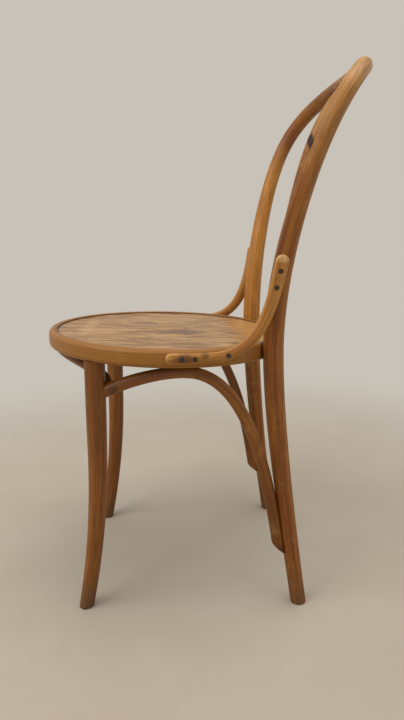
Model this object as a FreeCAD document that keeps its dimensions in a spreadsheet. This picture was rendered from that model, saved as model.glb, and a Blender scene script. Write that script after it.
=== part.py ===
import FreeCAD, Part
import math
import os
import Sketcher
from FreeCAD import Placement, Rotation, Vector

# Bentwood bistro chair, millimetres, +Z up, the sitter faces -Y, the sitter's left side is +X.
# The floor is Z = 0 and the origin is under the middle of the chair's box.
# Places in plan are measured from the middle of the seat, which lies a named distance from the origin.

doc = FreeCAD.newDocument("BentwoodChair")
sheet = doc.addObject("Spreadsheet::Sheet", "Sizes")
AXIS_X = Vector(1, 0, 0)
AXIS_Y = Vector(0, 1, 0)
AXIS_Z = Vector(0, 0, 1)
sizes = {}


def size(alias, value, note):
    """Put one driving dimension in the sheet and keep its number for the code below."""
    row = len(sizes) + 1
    sheet.set(f"A{row}", note)
    sheet.set(f"B{row}", str(value))
    sheet.setAlias(f"B{row}", alias)
    sizes[alias] = value


# Seat
size("seat_middle", -64.5, "Y of the seat's middle")
size("seat_height", 456.5, "height of the ring's top at the seat's middle")
size("seat_slope", 2.5, "degrees that the seat falls towards the back")
size("seat_width", 409, "ring, side to side")
size("seat_depth", 419, "ring, front to back")
size("ring_height", 29, "seat ring, top to bottom")
size("ring_width", 38, "seat ring, in plan")
size("border_width", 14, "ring's top border outside the panel")
size("panel_thickness", 5, "plywood seat panel")
size("panel_recess", 2.6, "ring's top above the panel")
size("panel_gap", 0.35, "panel edge to rebate wall")
size("ring_round", 8, "round on the ring's outer edges")
size("rim_round", 2.4, "round on the rebate's rim")
size("panel_ease", 0.8, "chamfer on the panel's upper edge")

# Back hoop with the rear legs
size("chair_height", 888, "floor to the top of the hoop")
size("rear_foot_spread", 344, "rear feet, middle to middle")
size("rear_foot_back", 215, "rear feet behind the seat's middle")
size("upright_angle", 50.3, "degrees from the side to where an upright meets the ring")
size("upright_housing", 3, "depth of the upright's housing for the ring")
size("waist_height", 440, "height at which the uprights stand plumb")
size("shoulder_spread", 387, "widest part of the hoop, middle to middle")
size("shoulder_height", 787, "height of the widest part")
size("shoulder_back", 246, "widest part behind the seat's middle")
size("shoulder_lean", 27.5, "degrees of lean at the widest part")
size("crown_back", 324.5, "top of the hoop behind the seat's middle")
size("foot_splay", 8, "degrees that a rear foot runs back")
size("hoop_foot_dia", 26, "rod at the rear feet")
size("hoop_seat_dia", 33.5, "rod at the seat")
size("hoop_shoulder_dia", 26.5, "rod at the widest part")
size("hoop_crown_dia", 25, "rod at the top of the hoop")
size("foot_handle", 190, "pull of the curve at the foot")
size("waist_handle_down", 110, "pull of the curve below the waist")
size("waist_handle_up", 125, "pull of the curve above the waist")
size("shoulder_handle_down", 85, "pull of the curve below the widest part")
size("shoulder_handle_up", 78, "pull of the curve above the widest part")
size("crown_handle", 118, "pull of the curve at the top")

# Splice strip on the left upright
size("splice_low", 640, "height where the strip runs out")
size("splice_high", 815, "height of the strip's top end")
size("splice_proud", 6.5, "most that the strip stands off the rod")
size("splice_dia", 22, "round of the strip's front")
size("splice_turn", 25, "degrees that the strip faces inwards")
size("splice_end_girth", 0.55, "strip's girth at its ends, as a share of its middle")
size("splice_rise", 1.6, "over 1 puts the strip's fullest part above its middle")
size("splice_fullness", 0.8, "under 1 keeps the strip full for longer")

# Front legs
size("leg_angle", 35.3, "degrees forward of the side where a front leg stands")
size("leg_inset", 18.5, "leg's middle inside the ring's edge")
size("leg_top_dia", 33, "front leg under the ring")
size("leg_foot_dia", 24.5, "front leg at the floor")
size("leg_spread", 9, "foot further out than the leg's top")
size("leg_rake", 9.7, "lean of the leg's straight part, forward")
size("leg_sweep", 27.5, "forward sweep of the sabre foot")
size("leg_straight", 0.35, "share of the leg above its sweep")
size("leg_taper_start", 0.2, "share of the leg above its taper")
size("leg_taper_power", 1.15, "over 1 holds the leg's girth for longer")
size("tenon_dia", 18, "tenon in the ring")
size("tenon_length", 16, "tenon above the leg's shoulder")
size("tenon_root", 6, "start of the tenon inside the leg")
size("socket_clearance", 0.5, "socket deeper than its tenon")

# Side arches
size("arch_front_dia", 21, "side arch at the front leg")
size("arch_crown_dia", 18.5, "side arch under the ring")
size("arch_rear_dia", 20, "side arch at the rear leg")
size("arch_front_drop", 53, "front end below the ring's underside")
size("arch_crown_back", 36, "crown behind the seat's middle")
size("arch_front_slope", 24, "degrees of slope at the front end")
size("arch_end_height", 104, "lower end above the floor")
size("arch_bed", 2.5, "depth of the arch's bed on the rear leg")
size("arch_cut_angle", 42, "degrees of the oblique cut at the lower end")
size("arch_front_handle", 45, "pull of the curve before the crown")
size("arch_rear_handle", 75, "pull of the curve behind the crown")
size("arch_leg_handle", 200, "pull of the curve at the rear leg")
size("arch_start_back", 0.3, "start behind the leg's middle, as a share of the leg's diameter")
size("arch_start_out", 0.1, "sideways part of the arch's first direction")

# Front arch
size("front_arch_dia", 19, "front arch")
size("front_arch_drop", 42, "ends below the ring's underside")
size("front_arch_run", 45, "near-level run inside each leg")
size("front_arch_bed", 2.5, "depth of the arch's bed on the leg")
size("front_arch_inward", 48, "degrees behind the leg's inner side where the arch lies on it")
size("front_arch_shift", 4, "ends outwards from there")
size("front_arch_forward", 1, "ends forward from there")
size("front_arch_lower", 3, "ends down from there")
size("front_arch_run_back", 2, "rearward part of the near-level run")
size("front_arch_run_up", 13, "rise of the near-level run")
size("front_arch_handle", 58, "pull of the curve at the crown")

# Side brackets
size("bracket_width", 21, "width on the upright")
size("bracket_seat_width", 17, "width on the ring")
size("bracket_thickness", 12.5, "thickness")
size("bracket_bed", 2.2, "depth of the bracket's beds on the ring and upright")
size("bracket_tip_back", 8, "front tip behind the seat's middle")
size("bracket_lift_back", 70, "place behind the seat's middle where it leaves the ring")
size("bracket_top_height", 586, "height of the top end")
size("bracket_top_back", 179, "top end behind the seat's middle")
size("bracket_drop", 12, "bracket's middle below the ring's top")
size("bracket_seat_handle", 75, "pull of the curve at the ring")
size("bracket_top_handle", 85, "pull of the curve at the upright")

# Fasteners
size("screw_head_dia", 8, "countersunk screw head")
size("screw_head_depth", 2.6, "countersink")
size("screw_dia", 4, "screw shank")
size("screw_length", 27, "screw, head to tip")
size("screw_point", 5, "length of the screw's point")
size("screw_tip", 0.3, "radius of the screw's tip")
size("slot_depth", 0.45, "screw slot, as a share of the countersink")
size("slot_past", 1, "slot cutter past the head")
size("hole_past", 0.5, "screw hole past the tip")
size("hole_above", 9, "screw hole's cutter above the head")
size("slot_width", 1.1, "screw slot")
size("lag_dia", 6, "coach screw shank")
size("lag_length", 52, "coach screw under its head")
size("lag_head_flats", 10, "coach screw head across flats")
size("lag_head_height", 4, "coach screw head")
size("washer_dia", 16, "washer")
size("washer_thickness", 1.5, "washer")
size("washer_stand", 1.2, "washer inside the ring's inner wall, which is hollow to it")
size("washer_gap", 0.05, "washer to its seat")
size("washer_eye_gap", 0.3, "washer's eye to the screw, all round")
size("washer_face_gap", 0.5, "flat for the washer, all round")
size("cutter_past", 3, "cutters past what they cut")
size("bore_gap", 0.15, "hole to screw, all round")
size("fit_gap", 0.25, "glued or screwed joint faces apart")
doc.recompute()


def derived(alias, formula, note):
    """Put one size worked out from others in the sheet and keep its number."""
    row = len(sizes) + 1
    sheet.set(f"A{row}", note)
    sheet.set(f"B{row}", f"={formula}")
    sheet.setAlias(f"B{row}", alias)
    sheet.recompute()
    sizes[alias] = float(sheet.get(alias))


derived("oval_offset", "(seat_depth - seat_width) / 2 / (2 - sqrt(2))",
        "centres of the ring's four arcs from its middle, for arcs that meet at 45 degrees")
derived("side_radius", "seat_width / 2 + oval_offset", "ring's arcs at the sides")
derived("end_radius", "seat_depth / 2 - oval_offset", "ring's arcs at the front and back")
doc.recompute()

seat_frame = Placement(Vector(0, sizes["seat_middle"], sizes["seat_height"]),
                       Rotation(AXIS_X, -sizes["seat_slope"]))


# Helpers for places and directions

def at(x, back, height):
    """World point from a place measured sideways and backwards from the seat's middle."""
    return Vector(x, sizes["seat_middle"] + back, height)


def mirrored(point, side):
    """The point on the given side, +1 for the sitter's left and -1 for the right."""
    return Vector(side * point.x, point.y, point.z)


def ring_point(angle, inset, below_top):
    """World point in the ring, where its edge faces an angle from +X towards the back."""
    turn = math.radians(angle)
    x = math.cos(turn)
    y = math.sin(turn)
    shift = sizes["oval_offset"]
    if abs(x) >= abs(y):
        reach = sizes["side_radius"] - inset
        local = Vector(reach * x - math.copysign(shift, x), reach * y, -below_top)
    else:
        reach = sizes["end_radius"] - inset
        local = Vector(reach * x, reach * y + math.copysign(shift, y), -below_top)
    return seat_frame.multVec(local)


def ring_normal(angle):
    """Outward direction of the ring's edge at an angle from +X towards the back."""
    turn = math.radians(angle)
    return seat_frame.Rotation.multVec(Vector(math.cos(turn), math.sin(turn), 0))


def ring_angle(back):
    """Angle that the ring's side arc faces at a given distance behind the seat's middle."""
    return math.degrees(math.asin(back / sizes["side_radius"]))


def square_to(direction, reference):
    """The reference direction made square to another direction."""
    result = reference - direction * reference.dot(direction)
    result.normalize()
    return result


# Helpers for bent members

def bezier(poles):
    """One cubic stretch of a member's centre line."""
    curve = Part.BezierCurve()
    curve.setPoles(poles)
    return curve.toShape()


def stretch_stations(edge, count, first=0):
    """Evenly spaced stations on one stretch: share of the length, point and direction."""
    stations = []
    for index in range(first, count + 1):
        share = index / count
        parameter = edge.getParameterByLength(share * edge.Length)
        tangent = edge.tangentAt(parameter)
        stations.append((share, edge.valueAt(parameter), tangent))
    return stations


def smooth(share):
    """Ease from 0 to 1 without a corner at either end."""
    return (1 - math.cos(math.pi * share)) / 2


def blend(start, end, share):
    """Expression for a size that eases from one cell's value to another's."""
    weight = smooth(share)
    return f"Sizes.{start} * {1 - weight:.5f} + Sizes.{end} * {weight:.5f}"


def round_section(name, point, direction, reference, diameter, grow=""):
    """A circle square to a member's centre line, its diameter bound to the sheet."""
    section = doc.addObject("Part::Circle", name)
    section.setExpression("Radius", f"({diameter}) / 2{grow}")
    across = square_to(direction, reference)
    turn = Rotation(across, direction.cross(across), direction, "ZXY")
    section.Placement = Placement(point, turn)
    return section


def oval_section(name, point, direction, reference, width, thickness, scale=1.0):
    """An ellipse square to a centre line: its thickness lies along the reference direction."""
    section = doc.addObject("Part::Ellipse", name)
    section.setExpression("MajorRadius", f"({width}) / 2 * {scale:.4f}")
    section.setExpression("MinorRadius", f"({thickness}) / 2 * {scale:.4f}")
    thin = square_to(direction, reference)
    wide = thin.cross(direction)
    section.Placement = Placement(point, Rotation(wide, thin, direction, "ZXY"))
    return section


def loft(name, sections):
    """A solid through sections set close enough that each step turns only a few degrees."""
    member = doc.addObject("Part::Loft", name)
    member.Sections = sections
    member.Solid = True
    member.Ruled = True
    return member


LENGTH_TURN = 40


def rod(name, sections):
    """A bent rod: lofted in lengths that each turn less than a named angle, then made one."""
    joints = [0]
    for number in range(1, len(sections)):
        start = direction_of(sections[joints[-1]])
        if math.degrees(direction_of(sections[number]).getAngle(start)) > LENGTH_TURN:
            joints.append(number - 1)
    joints.append(len(sections) - 1)
    if len(joints) == 2:
        return loft(name, sections)
    lengths = []
    for start, end in zip(joints, joints[1:]):
        lengths.append(loft(f"{name}_length{start}", sections[start:end + 1]))
    return fuse_all(name, lengths)


def direction_of(section):
    """Direction square to a section's plane."""
    return section.Placement.Rotation.multVec(AXIS_Z)


def cut(name, base, tools):
    """The base with every tool taken out of it, one after the other."""
    for number, tool in enumerate(tools):
        result = doc.addObject("Part::Cut", name if number == len(tools) - 1 else f"{name}_cut{number}")
        result.Base = base
        result.Tool = tool
        base = result
    return base


def fuse(name, base, tool):
    """Two solids made one."""
    result = doc.addObject("Part::Fuse", name)
    result.Base = base
    result.Tool = tool
    result.Refine = True
    return result


def fuse_all(name, members):
    """Several solids that meet end to end made one."""
    result = doc.addObject("Part::MultiFuse", name)
    result.Shapes = members
    return result


def group(name, members):
    """Several solids kept apart in one shape."""
    result = doc.addObject("Part::Compound", name)
    result.Links = members
    return result


def block(name, place, length, width, height):
    """A box used as a cutting tool, centred on its placement in plan."""
    box = doc.addObject("Part::Box", name)
    box.Length = length
    box.Width = width
    box.Height = height
    box.Placement = place.multiply(Placement(Vector(-length / 2, -width / 2, 0), Rotation()))
    return box


def plane_of(body, role):
    """One of a body's own origin planes."""
    return next(item for item in body.Origin.OriginFeatures if item.Role == role)


def flat_sketch(body, name, role):
    """An empty sketch on one of a body's own origin planes."""
    sketch = body.newObject("Sketcher::SketchObject", name)
    sketch.AttachmentSupport = [(plane_of(body, role), "")]
    sketch.MapMode = "FlatFace"
    return sketch


def add_oval(sketch, inset, rule):
    """The ring's outline of four arcs about the sketch's origin, less an inset in the sheet."""
    shift = sizes["oval_offset"]
    side = sizes["side_radius"] - inset
    end = sizes["end_radius"] - inset
    eighth = math.pi / 4
    arcs = []
    for number, (x, y, radius) in enumerate(((-shift, 0, side), (0, shift, end),
                                             (shift, 0, side), (0, -shift, end))):
        middle = number * math.pi / 2
        circle = Part.Circle(Vector(x, y, 0), AXIS_Z, radius)
        arcs.append(sketch.addGeometry(Part.ArcOfCircle(circle, middle - eighth, middle + eighth), False))
    for number in range(4):
        following = arcs[(number + 1) % 4]
        sketch.addConstraint(Sketcher.Constraint("Tangent", arcs[number], 2, following, 1))
    for number, kind, sign in ((0, "DistanceX", -1), (1, "DistanceY", 1), (2, "DistanceX", 1),
                               (3, "DistanceY", -1)):
        axis = -1 if kind == "DistanceX" else -2
        if number < 3:
            sketch.addConstraint(Sketcher.Constraint("PointOnObject", arcs[number], 3, axis))
        place = sketch.addConstraint(Sketcher.Constraint(kind, -1, 1, arcs[number], 3, sign * shift))
        sketch.setExpression(f"Constraints[{place}]", f"{sign} * Sizes.oval_offset")
    radius = sketch.addConstraint(Sketcher.Constraint("Radius", arcs[0], side))
    sketch.setExpression(f"Constraints[{radius}]", f"Sizes.side_radius - ({rule})")


def add_profile(sketch, corners):
    """A closed outline of straight lines; each corner's places are expressions over the sheet."""
    points = [Vector(float(x), float(y), 0) for x, _, y, _ in corners]
    count = len(points)
    lines = []
    for index in range(count):
        line = Part.LineSegment(points[index], points[(index + 1) % count])
        lines.append(sketch.addGeometry(line, False))
    for index in range(count):
        following = (index + 1) % count
        sketch.addConstraint(Sketcher.Constraint("Coincident", lines[index], 2, lines[following], 1))
    for index, (x, x_rule, y, y_rule) in enumerate(corners):
        for rule, kind, number in ((x_rule, "DistanceX", x), (y_rule, "DistanceY", y)):
            place = sketch.addConstraint(Sketcher.Constraint(kind, -1, 1, lines[index], 1, number))
            if rule:
                sketch.setExpression(f"Constraints[{place}]", rule)


# Seat ring: a bent ring with a rebate for the panel and rounded outer edges

def ring_blank():
    """The seat ring before its sockets and screw holes are cut."""
    body = doc.addObject("PartDesign::Body", "ring_body")
    outline = flat_sketch(body, "ring_outline", "XY_Plane")
    add_oval(outline, 0, "0")
    add_oval(outline, sizes["ring_width"], "Sizes.ring_width")
    pad = body.newObject("PartDesign::Pad", "ring_pad")
    pad.Profile = outline
    pad.setExpression("Length", "Sizes.ring_height")
    pad.Reversed = True
    rebate = flat_sketch(body, "rebate_outline", "XY_Plane")
    border = sizes["border_width"]
    add_oval(rebate, border, "Sizes.border_width")
    pocket = body.newObject("PartDesign::Pocket", "rebate")
    pocket.Profile = rebate
    pocket.setExpression("Length", "Sizes.panel_thickness + Sizes.panel_recess")
    doc.recompute()
    round_outer = body.newObject("PartDesign::Fillet", "outer_round")
    round_outer.Base = (pocket, edges_along(pocket.Shape, 0))
    round_outer.setExpression("Radius", "Sizes.ring_round")
    doc.recompute()
    round_rim = body.newObject("PartDesign::Fillet", "rim_round")
    round_rim.Base = (round_outer, edges_along(round_outer.Shape, border, 0))
    round_rim.setExpression("Radius", "Sizes.rim_round")
    body.Placement = seat_frame
    return body


def edges_along(shape, inset, height=None):
    """Names of a body's level arcs at one inset from the ring's edge, at one height if that is given."""
    radii = (sizes["side_radius"] - inset, sizes["end_radius"] - inset)
    names = []
    for number, edge in enumerate(shape.Edges, 1):
        if edge.Curve.TypeId != "Part::GeomCircle" or edge.BoundBox.ZLength > 0.01:
            continue
        if min(abs(edge.Curve.Radius - radius) for radius in radii) > 0.01:
            continue
        if height is None or abs(edge.BoundBox.ZMin - height) < 0.01:
            names.append(f"Edge{number}")
    return names


def seat_panel():
    """The veneered panel that lies in the ring's rebate."""
    body = doc.addObject("PartDesign::Body", "seat_panel")
    outline = flat_sketch(body, "panel_outline", "XY_Plane")
    inset = sizes["border_width"] + sizes["panel_gap"]
    add_oval(outline, inset, "Sizes.border_width + Sizes.panel_gap")
    pad = body.newObject("PartDesign::Pad", "panel_pad")
    pad.Profile = outline
    pad.setExpression("Length", "Sizes.panel_thickness")
    pad.Reversed = True
    doc.recompute()
    ease = body.newObject("PartDesign::Chamfer", "panel_ease")
    ease.Base = (pad, edges_along(pad.Shape, inset, 0))
    ease.setExpression("Size", "Sizes.panel_ease")
    drop = Placement(Vector(0, 0, -sizes["panel_recess"]), Rotation())
    body.Placement = seat_frame.multiply(drop)
    return body


def ring_clearance():
    """The space of the ring and its joint gap, used to house the uprights and bed the brackets."""
    body = doc.addObject("PartDesign::Body", "ring_clearance")
    outline = flat_sketch(body, "clearance_outline", "XY_Plane")
    gap = sizes["fit_gap"]
    add_oval(outline, -gap, "-Sizes.fit_gap")
    pad = body.newObject("PartDesign::Pad", "clearance_pad")
    pad.Profile = outline
    pad.setExpression("Length", "Sizes.ring_height + 2 * Sizes.fit_gap")
    pad.Reversed = True
    doc.recompute()
    rounds = body.newObject("PartDesign::Fillet", "clearance_round")
    rounds.Base = (pad, edges_along(pad.Shape, -gap))
    rounds.setExpression("Radius", "Sizes.ring_round")
    lift = Placement(Vector(0, 0, gap), Rotation())
    body.Placement = seat_frame.multiply(lift)
    return body


# Back hoop: one rod from foot to foot, thickest at the seat

def upright_waist():
    """Middle of the left upright where it stands plumb beside the ring."""
    stand_off = sizes["hoop_seat_dia"] / 2 - sizes["upright_housing"]
    edge = ring_point(sizes["upright_angle"], 0, sizes["ring_height"] / 2)
    point = edge + ring_normal(sizes["upright_angle"]) * stand_off
    return Vector(point.x, point.y, sizes["waist_height"])


def hoop_stretches():
    """Centre line of the hoop's left half, from the foot to the crown."""
    splay = math.radians(sizes["foot_splay"])
    lean = math.radians(sizes["shoulder_lean"])
    foot = at(sizes["rear_foot_spread"] / 2, sizes["rear_foot_back"], 0)
    waist = upright_waist()
    shoulder = at(sizes["shoulder_spread"] / 2, sizes["shoulder_back"], sizes["shoulder_height"])
    crown_height = sizes["chair_height"] - sizes["hoop_crown_dia"] / 2
    crown = at(0, sizes["crown_back"], crown_height)
    foot_way = Vector(-0.015, -math.sin(splay), math.cos(splay))
    lean_way = Vector(0, math.sin(lean), math.cos(lean))
    leg = bezier([foot, foot + foot_way * sizes["foot_handle"],
                  waist - AXIS_Z * sizes["waist_handle_down"], waist])
    upright = bezier([waist, waist + AXIS_Z * sizes["waist_handle_up"],
                      shoulder - lean_way * sizes["shoulder_handle_down"], shoulder])
    arch = bezier([shoulder, shoulder + lean_way * sizes["shoulder_handle_up"],
                   crown + AXIS_X * sizes["crown_handle"], crown])
    return leg, upright, arch


HOOP_COUNTS = (6, 8, 16)
HOOP_DIAMETERS = (("hoop_foot_dia", "hoop_seat_dia"), ("hoop_seat_dia", "hoop_shoulder_dia"),
                  ("hoop_shoulder_dia", "hoop_crown_dia"))
BELOW_FLOOR = 14


def hoop_stations():
    """Stations of the whole hoop, left foot to right foot, with each one's diameter rule."""
    half = []
    for number, edge in enumerate(hoop_stretches()):
        first = 0 if number == 0 else 1
        start, end = HOOP_DIAMETERS[number]
        for share, point, way in stretch_stations(edge, HOOP_COUNTS[number], first):
            half.append((point, way, blend(start, end, share)))
    foot, foot_way, foot_rule = half[0]
    half.insert(0, (foot - foot_way * BELOW_FLOOR, foot_way, foot_rule))
    other = []
    for point, way, rule in reversed(half[:-1]):
        other.append((Vector(-point.x, point.y, point.z), Vector(way.x, -way.y, -way.z), rule))
    return half + other


def hoop_rod(name, grow=""):
    """The hoop's rod, or the same rod with a joint gap round it."""
    sections = []
    for number, (point, way, rule) in enumerate(hoop_stations()):
        sections.append(round_section(f"{name}_ring{number}", point, way, AXIS_Y, rule, grow))
    return rod(name, sections)


def hoop_station_at(height):
    """Point and direction of the left upright's centre line at a height."""
    leg, upright, arch = hoop_stretches()
    for edge in (leg, upright, arch):
        low = edge.valueAt(edge.FirstParameter)
        high = edge.valueAt(edge.LastParameter)
        if low.z <= height <= high.z:
            start = edge.FirstParameter
            end = edge.LastParameter
            for _ in range(40):
                middle = (start + end) / 2
                if edge.valueAt(middle).z < height:
                    start = middle
                else:
                    end = middle
            return edge.valueAt(start), edge.tangentAt(start)
    raise ValueError(f"the upright has no point at {height} mm")


def hoop_radius_at(height):
    """Radius of the rod on the left upright at a height."""
    if height < sizes["waist_height"]:
        share = height / sizes["waist_height"]
        start, end = HOOP_DIAMETERS[0]
    else:
        share = (height - sizes["waist_height"]) / (sizes["shoulder_height"] - sizes["waist_height"])
        start, end = HOOP_DIAMETERS[1]
    weight = smooth(min(share, 1))
    return (sizes[start] * (1 - weight) + sizes[end] * weight) / 2


SPLICE_COUNT = 8


def splice_strip(hoop_gap):
    """A slender strip glued along the inner front of the left upright, bedded on the rod."""
    sections = []
    girth_at_end = sizes["splice_end_girth"]
    turn = math.radians(sizes["splice_turn"])
    facing = Vector(-math.sin(turn), -math.cos(turn), 0)
    for number in range(SPLICE_COUNT + 1):
        share = number / SPLICE_COUNT
        height = sizes["splice_low"] + share * (sizes["splice_high"] - sizes["splice_low"])
        point, way = hoop_station_at(height)
        out = square_to(way, facing)
        swell = 0
        if 0 < share < 1:
            swell = math.sin(math.pi * share ** sizes["splice_rise"]) ** sizes["splice_fullness"]
        girth = girth_at_end + (1 - girth_at_end) * swell
        proud = sizes["splice_proud"] * swell
        radius = sizes["splice_dia"] / 2 * girth
        reach = hoop_radius_at(height) + proud - radius
        rule = f"Sizes.splice_dia * {girth:.5f}"
        sections.append(round_section(f"splice_ring{number}", point + out * reach, way, AXIS_X, rule))
    strip = rod("splice_blank", sections)
    return cut("hoop_splice_strip", strip, [hoop_gap])


# Front legs: turned, tapered and swept forward at the foot

def leg_top():
    """Middle of the left front leg at the ring's underside."""
    return ring_point(-sizes["leg_angle"], sizes["leg_inset"], sizes["ring_height"])


def leg_point(share):
    """Left front leg's centre line, from 0 under the ring to 1 at the floor."""
    top = leg_top()
    bend = max(0, (share - sizes["leg_straight"]) / (1 - sizes["leg_straight"]))
    forward = sizes["leg_rake"] * share + sizes["leg_sweep"] * bend ** 2
    return Vector(top.x + sizes["leg_spread"] * share, top.y - forward, top.z * (1 - share))


def leg_direction(share):
    """Direction of the left front leg's centre line, downwards."""
    step = 0.001
    way = leg_point(share + step) - leg_point(share - step)
    way.normalize()
    return way


LEG_STATIONS = (-0.06, 0, 0.12, 0.25, 0.38, 0.5, 0.62, 0.74, 0.86, 1, 1.035)


def leg_rule(share):
    """Diameter rule of a front leg at a share of its length."""
    start = sizes["leg_taper_start"]
    taper = min(max((share - start) / (1 - start), 0), 1)
    weight = taper ** sizes["leg_taper_power"]
    return f"Sizes.leg_top_dia * {1 - weight:.5f} + Sizes.leg_foot_dia * {weight:.5f}"


def leg_rod(name, side, grow=""):
    """A front leg's rod, or the same rod with a joint gap round it."""
    sections = []
    for number, share in enumerate(LEG_STATIONS):
        point = mirrored(leg_point(share), side)
        way = mirrored(leg_direction(share), side)
        sections.append(round_section(f"{name}_ring{number}", point, way, AXIS_X, leg_rule(share), grow))
    return rod(name, sections)


def tenon(name, side, grow, extra):
    """The tenon on a leg's top, or its socket in the ring."""
    peg = doc.addObject("Part::Cylinder", name)
    peg.setExpression("Radius", f"Sizes.tenon_dia / 2{grow}")
    peg.setExpression("Height", f"Sizes.tenon_length + Sizes.tenon_root{extra}")
    top = mirrored(leg_top(), side)
    place = Placement(top, seat_frame.Rotation)
    peg.Placement = place.multiply(Placement(Vector(0, 0, -sizes["tenon_root"]), Rotation()))
    return peg


# Side arches: front leg, under the ring, and down the rear leg

def arch_stretches(side):
    """Centre line of a side arch: front leg to crown, and crown to its lower end."""
    crown_angle = ring_angle(sizes["arch_crown_back"])
    crown_bed = ring_point(crown_angle, sizes["ring_width"] / 2, sizes["ring_height"])
    normal = seat_frame.Rotation.multVec(AXIS_Z)
    crown = crown_bed - normal * (sizes["arch_crown_dia"] / 2 + sizes["fit_gap"])
    rearward = seat_frame.Rotation.multVec(AXIS_Y)
    slope = math.radians(sizes["arch_front_slope"])
    top = leg_top()
    share = sizes["arch_front_drop"] / top.z
    leg_middle = leg_point(share)
    front = Vector(leg_middle.x, leg_middle.y + sizes["leg_top_dia"] * sizes["arch_start_back"],
                   leg_middle.z)
    front_way = Vector(sizes["arch_start_out"], math.cos(slope), math.sin(slope))
    leg_mid, leg_way = hoop_station_at(sizes["arch_end_height"])
    leg_back = hoop_radius_at(sizes["arch_end_height"])
    beside = leg_back + sizes["arch_rear_dia"] / 2 - sizes["arch_bed"]
    ahead = square_to(leg_way, -AXIS_Y)
    end = leg_mid + ahead * beside
    first = [front, front + front_way * sizes["arch_front_handle"],
             crown - rearward * sizes["arch_front_handle"], crown]
    second = [crown, crown + rearward * sizes["arch_rear_handle"],
              end + leg_way * sizes["arch_leg_handle"], end]
    return [bezier([mirrored(pole, side) for pole in poles]) for poles in (first, second)]


ARCH_COUNTS = (5, 14)
CUTTER_SIDE = 80


def arch_rod(name, side):
    """A side arch before its ends are fitted."""
    front, rear = arch_stretches(side)
    sections = []
    for share, point, way in stretch_stations(front, ARCH_COUNTS[0]):
        rule = blend("arch_front_dia", "arch_crown_dia", share)
        sections.append(round_section(f"{name}_front{len(sections)}", point, way, AXIS_X, rule))
    for share, point, way in stretch_stations(rear, ARCH_COUNTS[1], 1):
        rule = blend("arch_crown_dia", "arch_rear_dia", share)
        sections.append(round_section(f"{name}_rear{len(sections)}", point, way, AXIS_X, rule))
    return rod(name, sections)


def arch_end_cutter(name, side):
    """A box that cuts a side arch's lower end on the slant."""
    rear = arch_stretches(side)[1]
    end = rear.valueAt(rear.LastParameter)
    turn = Rotation(AXIS_X, 180 - sizes["arch_cut_angle"])
    return block(name, Placement(end, turn), CUTTER_SIDE, 2 * CUTTER_SIDE, CUTTER_SIDE)


# Front arch: between the front legs, bowed forward under the ring

def front_arch_stretches():
    """Centre line of the front arch, left end to crown and crown to right end."""
    radius = sizes["front_arch_dia"] / 2
    top = leg_top()
    share = sizes["front_arch_drop"] / top.z
    leg_middle = leg_point(share)
    leg_radius = sizes["leg_top_dia"] / 2
    reach = leg_radius + radius - sizes["front_arch_bed"]
    inward = math.radians(sizes["front_arch_inward"])
    offset = Vector(-math.cos(inward) * reach, math.sin(inward) * reach, 0)
    shift = Vector(sizes["front_arch_shift"], -sizes["front_arch_forward"], -sizes["front_arch_lower"])
    start = leg_middle + offset + shift
    run = Vector(-sizes["front_arch_run"], sizes["front_arch_run_back"], sizes["front_arch_run_up"])
    crown_bed = ring_point(-90, sizes["ring_width"] / 2, sizes["ring_height"])
    crown = crown_bed - seat_frame.Rotation.multVec(AXIS_Z) * (radius + sizes["fit_gap"])
    poles = [start, start + run, crown + AXIS_X * sizes["front_arch_handle"], crown]
    left = bezier(poles)
    right = bezier([mirrored(pole, -1) for pole in reversed(poles)])
    return left, right


FRONT_ARCH_COUNT = 8


def front_arch_rod():
    """The front arch before its ends are fitted to the legs."""
    left, right = front_arch_stretches()
    sections = []
    for share, point, way in stretch_stations(left, FRONT_ARCH_COUNT):
        name = f"front_arch_left{len(sections)}"
        sections.append(round_section(name, point, way, AXIS_Z, "Sizes.front_arch_dia"))
    for share, point, way in stretch_stations(right, FRONT_ARCH_COUNT, 1):
        name = f"front_arch_right{len(sections)}"
        sections.append(round_section(name, point, way, AXIS_Z, "Sizes.front_arch_dia"))
    return rod("front_arch_blank", sections)


# Side brackets: along the ring's edge and up the outside of the upright

def bracket_ring_point(back):
    """Middle of a left bracket where it lies along the ring's edge."""
    angle = ring_angle(back)
    point = ring_point(angle, 0, sizes["bracket_drop"])
    return point + ring_normal(angle) * (sizes["bracket_thickness"] / 2 - sizes["bracket_bed"])


def bracket_stretches(side):
    """Centre line of a side bracket: along the ring, then up to the upright."""
    tip = bracket_ring_point(sizes["bracket_tip_back"])
    lift = bracket_ring_point(sizes["bracket_lift_back"])
    early = bracket_ring_point(sizes["bracket_tip_back"] + 1)
    late = bracket_ring_point(sizes["bracket_lift_back"] + 1)
    tip_way = early - tip
    tip_way.normalize()
    lift_way = late - lift
    lift_way.normalize()
    third = (sizes["bracket_lift_back"] - sizes["bracket_tip_back"]) / 3
    along = bezier([tip, tip + tip_way * third, lift - lift_way * third, lift])
    beside, up_way = hoop_station_at(sizes["bracket_top_height"])
    reach = hoop_radius_at(sizes["bracket_top_height"]) + sizes["bracket_thickness"] / 2
    out = square_to(up_way, AXIS_X)
    top = beside + out * (reach - sizes["bracket_bed"])
    top = Vector(top.x, sizes["seat_middle"] + sizes["bracket_top_back"], top.z)
    rise = bezier([lift, lift + lift_way * sizes["bracket_seat_handle"],
                   top - up_way * sizes["bracket_top_handle"], top])
    if side > 0:
        return along, rise
    flipped = []
    for edge in (along, rise):
        flipped.append(bezier([mirrored(pole, -1) for pole in edge.Curve.getPoles()]))
    return flipped


BRACKET_COUNTS = (3, 12)
DOME_ANGLES = (15, 40, 65)


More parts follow.
